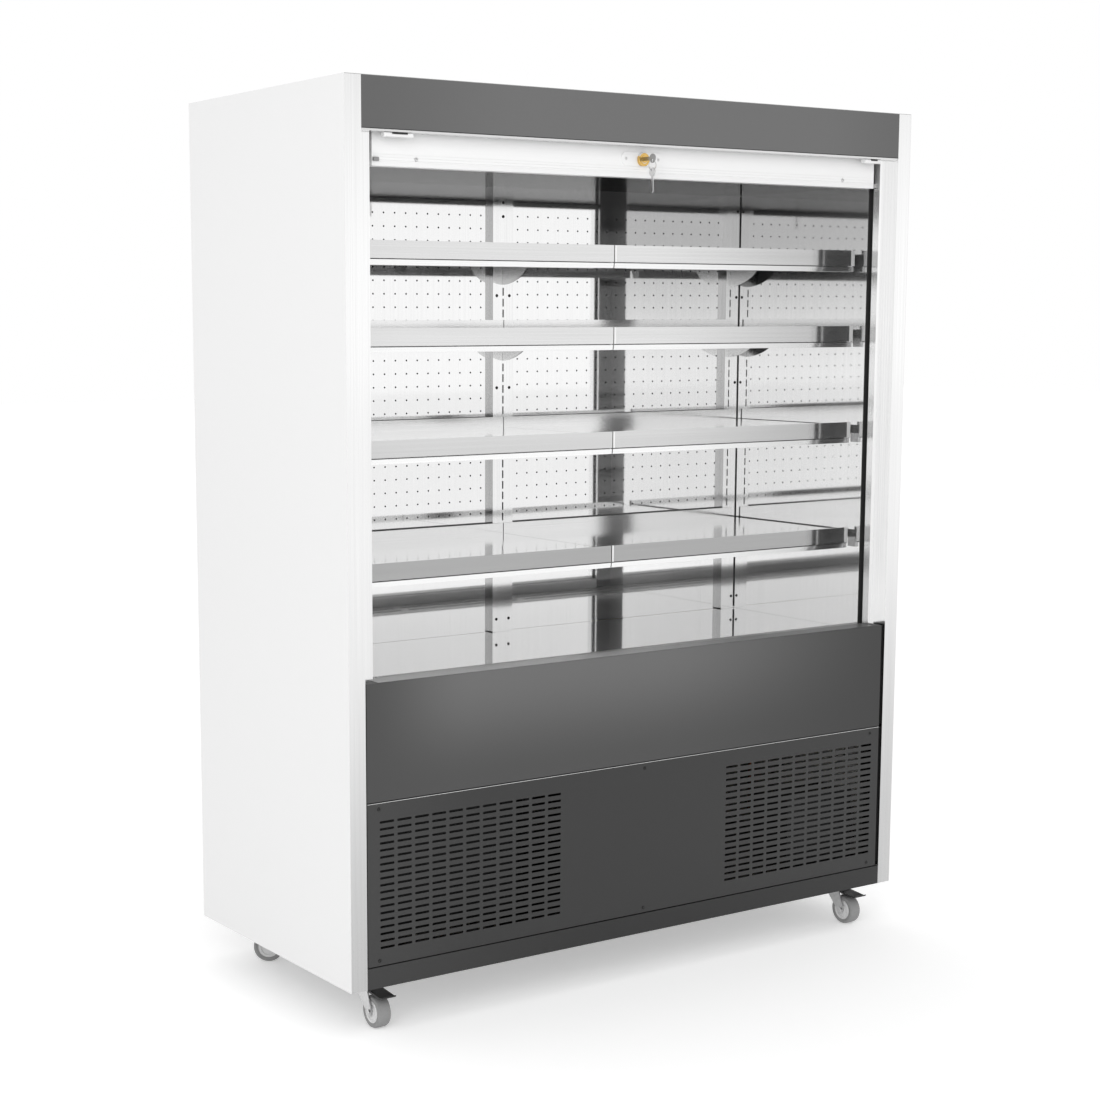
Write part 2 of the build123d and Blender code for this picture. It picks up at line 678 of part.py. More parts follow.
def shutter_bar():
    """Hollow end bar with grooves, a foot strip, guide tongues and the fixed half of the lock."""
    y0, y1 = BAR_Y, BAR_Y + BAR_T
    z0, z1 = BAR_FOOT_Z, BAR_FOOT_Z + BAR_H
    wall, groove = BAR_WALL, 1.0
    shell = outline((y0, z0), (y1, z0), (y1, z1), (y0, z1))
    hollow = outline((y0 + wall, z0 + 26), (y1 - wall, z0 + 26), (y1 - wall, z1 - wall),
                     (y0 + wall, z1 - wall))
    lower = outline((y0 + 4, z0 + wall), (y1 - wall, z0 + wall), (y1 - wall, z0 + 24),
                    (y0 + 4, z0 + 24))
    cuts = [outline((y0 - 1, z), (y0 + groove, z), (y0 + groove, z + 1.4), (y0 - 1, z + 1.4))
            for z in (z0 + 11, z0 + 16.5, z0 + 22)]
    body = along_x(shell - hollow - lower - cuts, -BAR_HALF, BAR_HALF)
    cap = along_x(shell, -BAR_HALF, -BAR_HALF + wall)
    tongue = block(2 - SLAT_HALF, wall - BAR_HALF, SLAT_Y - 4, SLAT_Y + 4, z0 + 3, z0 + 12)
    body += both_sides(cap + tongue)
    hole = along_y(bore(LOCK_R + RUNNING_FIT, LOCK_X, LOCK_Z), y0 - 20, y0 + 3)
    end_x = (PLATE_L - PLATE_H) / 2
    ends = [disc(PLATE_H / 2, LOCK_X + x, LOCK_Z) for x in (-end_x, end_x)]
    oblong = Pos(LOCK_X, LOCK_Z) * Rectangle(2 * end_x, PLATE_H) + ends
    plate = along_y(oblong, y0 - PLATE_T, y0)
    rim = along_y(disc(RIM_R, LOCK_X, LOCK_Z), y0 - PLATE_T - RIM_T, y0 - PLATE_T)
    return Compound([body - hole, (plate + rim) - hole])


def lock_cylinder():
    """Turning plug with its keyway and the cam that throws the bolts inside the bar."""
    front_y = BAR_Y - PLATE_T - RIM_T - 1
    plug = along_y(pivot(LOCK_R, 0, 0), front_y, BAR_Y + 14)
    cam = block(-5, 5, BAR_Y + 14, BAR_Y + 17, -9, 18)
    keyway = block(-KEY_T / 2 - RUNNING_FIT, KEY_T / 2 + RUNNING_FIT, front_y - 1, BAR_Y, -4, 4)
    return Pos(LOCK_X, 0, LOCK_Z) * (plug + cam - keyway)


def key_plate(blade, bow_z, hole):
    """A flat key in (y, z): a round bow with a hole for the ring, and a blade."""
    bow = Pos(BOW_Y, bow_z) * RegularPolygon(BOW_R, 14)
    return along_x(bow - hole + blade, LOCK_X - KEY_T / 2, LOCK_X + KEY_T / 2)


def key():
    """The key in the lock; its blade ends inside the keyway."""
    root_y, tip_y, half = BOW_Y + BOW_R - 3, BAR_Y - 0.5, 3.9
    blade = outline((root_y, LOCK_Z - half), (tip_y, LOCK_Z - half), (tip_y, LOCK_Z + half),
                    (root_y, LOCK_Z + half))
    return key_plate(blade, LOCK_Z, bore(BOW_HOLE_R, BOW_Y, LOCK_Z - BOW_HOLE_DROP, 8))


def key_ring():
    """Split ring through the hole in the bow of the key in the lock."""
    hoop = RegularPolygon(RING_R, 20) - RegularPolygon(RING_R - RING_T, 20)
    return along_y(Pos(LOCK_X, RING_Z) * hoop, BOW_Y - RING_T / 2, BOW_Y + RING_T / 2)


def spare_key():
    """The second key, hanging from the bottom of the ring."""
    bow_z = RING_Z - RING_R + RING_T / 2 - BOW_HOLE_DROP
    half, root_z, tip_z = 3.0, bow_z - BOW_R + 2, bow_z - BOW_R - BLADE_L
    blade = outline((BOW_Y - half, root_z), (BOW_Y - half, tip_z + 4), (BOW_Y, tip_z),
                    (BOW_Y + half, tip_z + 4), (BOW_Y + half, root_z))
    return key_plate(blade, bow_z, pivot(BOW_HOLE_R, BOW_Y, bow_z + BOW_HOLE_DROP))


# ---------------------------------------------------------------- cooling system

def fan(x, y, z, radius, hub_r, length):
    """Axial fan rotor: a hub with pitched blades, axle along Y."""
    hub = Rot(X=90) * extrude(Circle(hub_r), length)
    reach = radius - hub_r + 3
    blade = Pos(X=hub_r - 3 + reach / 2, Y=-length / 2) * Rot(X=28) * Box(reach, 2, radius * 0.42)
    rotor = hub + [Rot(Y=step * 360 / FAN_BLADES) * blade for step in range(FAN_BLADES)]
    return Pos(x, FRONT + y, CASTER_H + z) * rotor


def motor(x, y, z, size, length, reach):
    """Square motor on a flat strut that spans the fan opening."""
    body = block(x - size / 2, x + size / 2, y, y + length, z - size / 2, z + size / 2)
    return body + block(x - reach, x + reach, y + length, y + length + 3, z - 9, z + 9)


def evaporator():
    """Finned coil between two end plates, with the return bends boxed at each end."""
    left, right = EVAP_COIL_X, COIL_END_X
    coil_z = TUB_FLOOR_Z + COIL_RISE
    core = block(left, right, COIL_Y, COIL_Y + COIL_D, coil_z, coil_z + COIL_H)
    plates = [block(x, x + 2, COIL_Y - 10, COIL_Y + COIL_D + 10, TUB_FLOOR_Z + LINER,
                    coil_z + COIL_H + 15) for x in (left - 2, right)]
    bends = [block(x, x + BEND_REACH, y, y + BEND_W, coil_z + 10, coil_z + COIL_H - 8)
             for x in (left - 2 - BEND_REACH, right + 2)
             for y in [COIL_Y + BEND_W + BEND_PITCH * row for row in range(3)]]
    return core + plates + bends


def evaporator_fan_plate():
    plate = block(-INNER_HALF, INNER_HALF, FAN_PLATE_Y, FAN_PLATE_Y + PANEL,
                  TUB_FLOOR_Z + LINER, DECK_Z - PANEL)
    motors = []
    for x in (-EVAP_FAN_X, EVAP_FAN_X):
        plate -= along_y(bore(EVAP_FAN_R + 5, x, EVAP_FAN_Z, 20), FAN_PLATE_Y - 1, FAN_PLATE_Y + 2)
        motors.append(motor(x, FAN_PLATE_Y + EVAP_STANDOFF + HUB_GAP, EVAP_FAN_Z,
                            EVAP_MOTOR_W, EVAP_MOTOR_L, EVAP_FAN_R + 18))
        for side in (-1, 1):
            leg = side * (EVAP_FAN_R + 14)
            motors.append(block(x + leg - 4, x + leg + 4, FAN_PLATE_Y + PANEL,
                                FAN_PLATE_Y + EVAP_STANDOFF + EVAP_MOTOR_L + HUB_GAP,
                                EVAP_FAN_Z - 9, EVAP_FAN_Z + 9))
    return plate + motors


def condenser():
    """Finned coil with a shroud, a fan opening and the fan motor on its strut."""
    x0, x1 = COND_FAN_X - COND_W / 2, COND_FAN_X + COND_W / 2
    z0, z1 = COND_RISE, COND_RISE + COND_H
    back_y, leg_x = COND_Y + COND_T, COND_FAN_R + 27
    shroud_y = back_y + SHROUD_D
    core = block(x0 + 10, x1 - 10, COND_Y, back_y, z0 + 10, z1 - 10)
    plates = [block(x, x + 2, COND_Y - 4, shroud_y, FLOOR_T, z1) for x in (x0, x1 - 2)]
    ribs = [block(x0, x1, COND_Y, back_y, z, z + 4) for z in (z0 + 8, z1 - 12)]
    shroud = block(x0, x1, shroud_y, shroud_y + 2, z0, z1)
    shroud -= along_y(bore(COND_FAN_R + 6, COND_FAN_X, COND_FAN_Z, 24), shroud_y - 1, shroud_y + 3)
    top = [block(x0, x1, back_y, shroud_y, z, z + 2) for z in (z0, z1 - 2)]
    motor_y = back_y + COND_STANDOFF + HUB_GAP
    strut = motor(COND_FAN_X, motor_y, COND_FAN_Z, COND_MOTOR_W, COND_MOTOR_L, leg_x + 5)
    legs = [block(COND_FAN_X + x - 5, COND_FAN_X + x + 5, shroud_y + 2, motor_y + COND_MOTOR_L,
                  COND_FAN_Z - 9, COND_FAN_Z + 9) for x in (-leg_x, leg_x)]
    return core + plates + ribs + shroud + top + strut + legs


def compressor():
    """Hermetic pot with a domed top on a footed base plate."""
    shell = RegularPolygon(POT_R, 18)
    pot = extrude(shell, POT_H)
    dome = Pos(Z=POT_H) * extrude(shell, DOME_H, taper=32)
    seat = Pos(Z=-6) * extrude(shell, 6)
    plate = Pos(Z=-8) * Box(2 * (POT_R + POT_PLATE_MARGIN), 2 * POT_R, 4)
    feet = [Pos(x, y, -10 - POT_FOOT_H / 2) * Box(24, 24, POT_FOOT_H)
            for x in (-POT_R - 3, POT_R + 3) for y in (17 - POT_R, POT_R - 17)]
    terminal = Pos(0, -POT_R - 5, POT_H / 2 + 10) * Box(TERMINAL_W, TERMINAL_D, TERMINAL_W)
    body = pot + dome + seat + plate + feet + terminal
    seat_z = CASTER_H + FLOOR_T + 10 + POT_FOOT_H
    return Pos(COMPRESSOR_X, FRONT + COMPRESSOR_Y, seat_z) * body


def refrigerant_pipes():
    """Suction line from the coil to the compressor and liquid line from the condenser."""
    port_x, port_z = COIL_END_X + 19, TUB_FLOOR_Z + 80
    pot_x, pot_z = COMPRESSOR_X + POT_R + 0.5, 130
    near, far = CHASE_X - 10, CHASE_X + 8
    cond_x, cond_z = COND_FAN_X + COND_W / 2 + 1, COND_RISE + COND_H + 15
    suction = [(port_x, COIL_Y + 80, port_z), (far, COIL_Y + 80, port_z), (far, CHASE_Y, port_z),
               (far, CHASE_Y, pot_z), (pot_x, CHASE_Y, pot_z)]
    liquid = [(cond_x, COND_Y + 30, cond_z), (near, COND_Y + 30, cond_z),
              (near, CHASE_Y, cond_z), (near, CHASE_Y, port_z - 40),
              (port_x, CHASE_Y, port_z - 40)]
    return Compound([pipe(suction), pipe(liquid)])


def pipe(points):
    """Mitred tube through the given corners."""
    path = Polyline(*[(x, FRONT + y, CASTER_H + z) for x, y, z in points])
    start = Plane(origin=path @ 0, z_dir=path % 0)
    return sweep(start * RegularPolygon(PIPE_R, 8), path=path, transition=Transition.RIGHT)


def drip_tray():
    """Open tray on the base, between the condenser and the compressor."""
    left = COND_FAN_X + COND_W / 2 + TRAY_GAP_LEFT
    right = COMPRESSOR_X - POT_R - POT_PLATE_MARGIN - TRAY_GAP_RIGHT
    front_y = COND_Y + COND_T + TRAY_GAP_FRONT
    outer = block(left, right, front_y, front_y + TRAY_D, FLOOR_T, FLOOR_T + TRAY_H)
    return outer - block(left + 2, right - 2, front_y + 2, front_y + TRAY_D - 2,
                         FLOOR_T + 2, FLOOR_T + TRAY_H + 1)


def control_box():
    """Switch and control housing on feet, with its lid to the front and two cable glands."""
    left, right, top_z = BOX_X - BOX_W, BOX_X, COND_RISE + BOX_H
    outer = block(left, right, BOX_Y, BOX_Y + BOX_D, COND_RISE, top_z)
    lid = block(left - LID_RIM, right + LID_RIM, BOX_Y - LID_T, BOX_Y, COND_RISE - LID_RIM,
                top_z + LID_RIM)
    glands = [block(x, x + 16, BOX_Y + 50, BOX_Y + 66, COND_RISE - 12, COND_RISE)
              for x in (left + 20, left + 50)]
    feet = [block(x, x + 14, BOX_Y + 20, BOX_Y + 80, FLOOR_T, COND_RISE)
            for x in (right - 80, right - 30)]
    return outer + lid + glands + feet


# ---------------------------------------------------------------- casters

def stand(x, y, swing):
    """Where a caster's own frame sits: swivel axis up the middle, top plate face at z = 0."""
    return Pos(x, FRONT + y, CASTER_H) * Rot(Z=swing)


def caster_plates(places):
    """Top plates bolted under the base, each with the fixed half of the swivel race."""
    plate = Pos(Z=-PLATE_THICK / 2) * Box(PLATE_W, PLATE_D, PLATE_THICK)
    race = Pos(Z=-PLATE_THICK - RACE_H) * extrude(Circle(RACE_R), RACE_H)
    return Compound([stand(x, y, 0) * (plate + race) for x, y, _ in places])


def caster_fork(place):
    """Pressed fork: crown under the race, two tapering legs and the axle through them."""
    crown_z = -PLATE_THICK - RACE_H - CROWN_GAP
    axle_y, axle_z = -TRAIL, WHEEL_R - CASTER_H
    leg = outline((18, crown_z), (-22, crown_z), (axle_y - 9, axle_z + 3), (axle_y - 6, axle_z - 8),
                  (axle_y + 6, axle_z - 8), (axle_y + 11, axle_z), (18, crown_z - 14))
    legs = [sideways(leg, x, x + FORK_T) for x in (-FORK_HALF, FORK_HALF - FORK_T)]
    crown = Pos(0, -2, crown_z - FORK_T / 2) * Box(2 * FORK_HALF, 40, FORK_T)
    axle = sideways(disc(AXLE_R, axle_y, axle_z, 10), -FORK_HALF - 2, FORK_HALF + 2)
    return stand(*place) * (crown + legs + axle)


def caster_wheel(place):
    """Tyre and hub in one, bored for the axle."""
    section = RegularPolygon(WHEEL_R, WHEEL_SIDES) - Circle(AXLE_R + RUNNING_FIT)
    wheel = sideways(section, -WHEEL_W / 2, WHEEL_W / 2)
    return stand(*place) * Pos(0, -TRAIL, WHEEL_R - CASTER_H) * wheel


def brake_pedal(place):
    """Foot lever with an upturned toe, its knuckle hinged between the fork legs."""
    y, z = PEDAL_Y, PEDAL_Z
    toe_y = y - PEDAL_REACH
    lever = outline((y + 4, z + 1.5), (y + 4, z - 1.5), (y - 8, z - 2.5), (toe_y + 6, z - 6),
                    (toe_y, z - 3), (toe_y, z), (toe_y + 7, z - 2.5), (y - 8, z + 1.5))
    half_w = FORK_HALF - FORK_T - KNUCKLE_GAP
    return stand(*place) * sideways(lever + pivot(KNUCKLE_R, y, z), -half_w, half_w)


# ---------------------------------------------------------------- save every node

CASTERS = {
    "front_left": (-CASTER_X, CASTER_FRONT_Y, 0),
    "front_right": (CASTER_X, CASTER_FRONT_Y, 0),
    "rear_left": (-CASTER_X, CASTER_REAR_Y, REAR_SWING),
    "rear_right": (CASTER_X, CASTER_REAR_Y, REAR_SWING),
}

for make in (base_frame, side_liners, wall_insulation, rear_panel, roof_panel, canopy_panel,
             apron_panel, louvre_panel, plinth, ceiling_and_air_outlet, back_duct_panels,
             slotted_uprights, shelf_brackets, deck_pan, return_grille, tub_liner,
             shutter_guides, shutter_carrier, shutter_drum, shutter_roll, shutter_curtain,
             shutter_bar, lock_cylinder, key, key_ring, spare_key, evaporator,
             evaporator_fan_plate, condenser, compressor, refrigerant_pipes, drip_tray,
             control_box, mains_inlet):
    save(make.__name__, make())

for make in (side_panel, front_post):
    left = make()
    save(f"{make.__name__}_left", left)
    save(f"{make.__name__}_right", mirror(left, Plane.YZ))

for number, rail_top in enumerate(SHELF_TOPS, start=1):
    outer, joint = INNER_HALF - SHELF_END_GAP, SHELF_JOINT
    save(f"shelf_{number}_left", shelf(rail_top, -outer, -joint, -1))
    save(f"shelf_{number}_right", shelf(rail_top, joint, outer, 1))

save("caster_plates", caster_plates(CASTERS.values()))
for name, place in CASTERS.items():
    save(f"fork_{name}", caster_fork(place))
    save(f"wheel_{name}", caster_wheel(place))
    if name.startswith("front"):
        save(f"brake_pedal_{name.split('_')[1]}", brake_pedal(place))

save("condenser_fan", fan(COND_FAN_X, COND_Y + COND_T + COND_STANDOFF, COND_FAN_Z, COND_FAN_R,
                          COND_HUB_R, COND_HUB_L))
for side, x in (("left", -EVAP_FAN_X), ("right", EVAP_FAN_X)):
    save(f"evaporator_fan_{side}", fan(x, FAN_PLATE_Y + EVAP_STANDOFF, EVAP_FAN_Z, EVAP_FAN_R,
                                       EVAP_HUB_R, EVAP_HUB_L))
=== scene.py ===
"""Looks of the open display fridge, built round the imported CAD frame.

Lengths are written in the cabinet's own millimetres, unless a comment says otherwise: x from the
middle, y back from the front face, z up from the underside of the body. at() turns them into
metres in the row frame.
"""
import json
from math import asin, cos, pi, radians, sin

import bmesh
import bpy
from mathutils import Matrix, Vector


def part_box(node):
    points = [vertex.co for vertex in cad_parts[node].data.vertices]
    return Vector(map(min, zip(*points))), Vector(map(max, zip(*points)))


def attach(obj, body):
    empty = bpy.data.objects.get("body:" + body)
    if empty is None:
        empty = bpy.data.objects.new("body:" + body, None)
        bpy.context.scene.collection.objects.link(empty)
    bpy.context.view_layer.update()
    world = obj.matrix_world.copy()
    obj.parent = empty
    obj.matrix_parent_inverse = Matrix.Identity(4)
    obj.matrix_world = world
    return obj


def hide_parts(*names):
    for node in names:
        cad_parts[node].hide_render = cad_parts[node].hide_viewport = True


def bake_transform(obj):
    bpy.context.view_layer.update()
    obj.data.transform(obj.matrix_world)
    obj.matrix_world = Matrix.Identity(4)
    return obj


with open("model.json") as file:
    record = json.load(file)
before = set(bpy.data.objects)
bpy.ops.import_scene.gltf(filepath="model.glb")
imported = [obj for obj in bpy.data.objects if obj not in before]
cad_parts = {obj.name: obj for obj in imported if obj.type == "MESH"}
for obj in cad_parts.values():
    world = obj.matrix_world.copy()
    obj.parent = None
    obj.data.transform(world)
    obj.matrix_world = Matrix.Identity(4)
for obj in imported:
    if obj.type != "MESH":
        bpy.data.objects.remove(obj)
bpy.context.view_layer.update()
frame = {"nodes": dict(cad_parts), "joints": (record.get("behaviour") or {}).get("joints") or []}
nodes = frame["nodes"]
joints = {joint["name"]: joint for joint in frame["joints"]}
scene = bpy.context.scene

# ---------------------------------------------------------------- places taken from the frame

# The cabinet's zero in the row frame: the canopy's face, and the underside of the plinth.
FRONT_Y = round(1000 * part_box("canopy_panel")[0][1], 2)
UNDERSIDE_Z = round(1000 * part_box("plinth")[0][2], 2)
ZERO = (0.0, FRONT_Y, UNDERSIDE_Z)


def at(x, y, z):
    return Vector((x, y + FRONT_Y, z + UNDERSIDE_Z)) / 1000


def in_cabinet(point):
    """The opposite of at()."""
    return [round(1000 * value - zero, 2) for value, zero in zip(point, ZERO)]


def box(node):
    """A CAD node's lowest and highest corner."""
    return [in_cabinet(corner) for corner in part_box(node)]


(PANEL_LEFT, PANEL_Y, PANEL_FOOT), (PANEL_RIGHT, _, PANEL_TOP) = box("louvre_panel")
(_, _, APRON_FOOT), (_, APRON_BACK, APRON_TOP) = box("apron_panel")
(_, BACK_Y, BACK_FOOT), (HALF_INSIDE, _, BACK_TOP) = box("back_duct_panels")
UPRIGHT_Y = box("slotted_uprights")[0][1]
CANOPY_FOOT = box("canopy_panel")[0][2]
CANOPY_END = box("canopy_panel")[1][0]
DECK_Z = box("deck_pan")[1][2]
LOCK_X, _, LOCK_Z = in_cabinet(joints["lock_turn"]["pos_m"])
SIDES = ("left", "right")
TIERS = (1, 2, 3, 4)
CORNERS = ("front_left", "front_right", "rear_left", "rear_right")

# What the frame's boxes don't tell
BACK_JOINT = 0.5                            # half the gap between the two perforated sheets
UPRIGHT_HALF, UPRIGHT_END = 28.5, 43.0      # half the middle one, width of an end one
SHELF_UPSTAND = 16.0                        # a shelf's rear edge over the top of its rail
BAR_Y = 33.0                                # front of the shutter bar
TO_VIEWER = (0, -1, 0)                      # the way the front faces


# ---------------------------------------------------------------- materials

GRAIN_STOPS = (0.3, 0.7)                    # noise levels of the darker and the lighter grain
BUMP_DEPTH = 0.001                          # metres
LEAST_ROUGH = 0.01
TURN_FROM, TURN_TO = 0.4, 0.6               # a face takes its painted facing light or shade between these slopes
MIX_UNDER, MIX_OVER, MIX_RESULT = 6, 7, 2   # a mix node's colour sockets


def linear(value):
    """A grey or colour as it looks on screen, turned into the linear value a shader takes."""
    values = (value,) * 3 if isinstance(value, (int, float)) else value
    return [v / 12.92 if v <= 0.04045 else ((v + 0.055) / 1.055) ** 2.4 for v in values] + [1.0]


def fill(tree, node, inputs):
    """Each input is a value, or an output of another node that is linked to it."""
    for name, value in inputs.items():
        if isinstance(value, bpy.types.NodeSocket):
            tree.links.new(value, node.inputs[name])
        else:
            node.inputs[name].default_value = value


def add(tree, kind, inputs):
    node = tree.nodes.new(kind)
    fill(tree, node, inputs)
    return node


def axes_of(tree, vector):
    return add(tree, "ShaderNodeSeparateXYZ", {"Vector": vector}).outputs


def ranged(tree, value, limits, kind="LINEAR"):
    """A value carried over to other limits, given by the names of the node's inputs."""
    span = add(tree, "ShaderNodeMapRange", {"Value": value, **limits})
    span.interpolation_type = kind
    return span.outputs["Result"]


def smooth(tree, value, low, high):
    return ranged(tree, value, {"From Min": low, "From Max": high}, "SMOOTHSTEP")


def mixed(tree, factor, under, over):
    mix = tree.nodes.new("ShaderNodeMix")
    mix.data_type = "RGBA"
    fill(tree, mix, {"Factor": factor, MIX_UNDER: under, MIX_OVER: over})
    return mix.outputs[MIX_RESULT]


def grained(tree, noise, shade, spread):
    """A shade that the noise makes a little darker or lighter."""
    ramp = add(tree, "ShaderNodeValToRGB", {"Fac": noise})
    for stop, level, share in zip(ramp.color_ramp.elements, GRAIN_STOPS, (1 - spread, 1 + spread)):
        stop.position = level
        stop.color = [min(1.0, c * share) for c in linear(shade)[:3]] + [1]
    return ramp.outputs["Color"]


def tinted(tree, place, noise, colour, spread, painted_fades, turned):
    """The finish's colour with its grain, and painted light and shade by place and by facing."""
    tint = grained(tree, noise, colour, spread)
    if painted_fades:
        along = axes_of(tree, place)
    for axis, start, end, shade in painted_fades:
        share = smooth(tree, along[axis], start, end)
        tint = mixed(tree, share, tint, grained(tree, noise, shade, spread))
    if turned:
        shape = add(tree, "ShaderNodeNewGeometry", {})
        facing = axes_of(tree, shape.outputs["True Normal"])
    for axis, sign, shade in turned:
        share = smooth(tree, facing[axis], TURN_FROM * sign, TURN_TO * sign)
        tint = mixed(tree, share, tint, grained(tree, noise, shade, spread))
    return tint


def surface(name, colour, metallic=0.0, rough=0.4, grain=(60, 60, 60), spread=0.04,
            rough_spread=0.05, bump=0.02, detail=3.0, coat=0.0, edge=1.0, painted_fades=(), turned=()):
    """A procedural finish: grain varies its colour, roughness and height.

    Each fade is (axis, from, to, colour reached at "to"), in row-frame metres: a painted
    gradient of light or shade. Each entry of turned is (axis, sign, colour) for the faces that
    look that way: painted shade or light on them. edge is the tint of a glancing reflection.
    """
    mat = bpy.data.materials.new(name)
    mat.use_nodes = True
    tree = mat.node_tree
    place = add(tree, "ShaderNodeTexCoord", {}).outputs["Object"]
    stretch = add(tree, "ShaderNodeMapping", {"Vector": place, "Scale": grain})
    noise = add(tree, "ShaderNodeTexNoise", {"Vector": stretch.outputs["Vector"], "Scale": 1.0,
                                             "Detail": detail}).outputs["Fac"]
    height = add(tree, "ShaderNodeBump", {"Height": noise, "Strength": bump,
                                          "Distance": BUMP_DEPTH})
    roughness = ranged(tree, noise, {"To Min": max(LEAST_ROUGH, rough - rough_spread),
                                     "To Max": rough + rough_spread})
    fill(tree, tree.nodes["Principled BSDF"], {
        "Base Color": tinted(tree, place, noise, colour, spread, painted_fades, turned),
        "Metallic": metallic,
        "Roughness": roughness,
        "Normal": height.outputs["Normal"],
        "Coat Weight": coat,
        "Specular Tint": linear(edge),
    })
    return mat


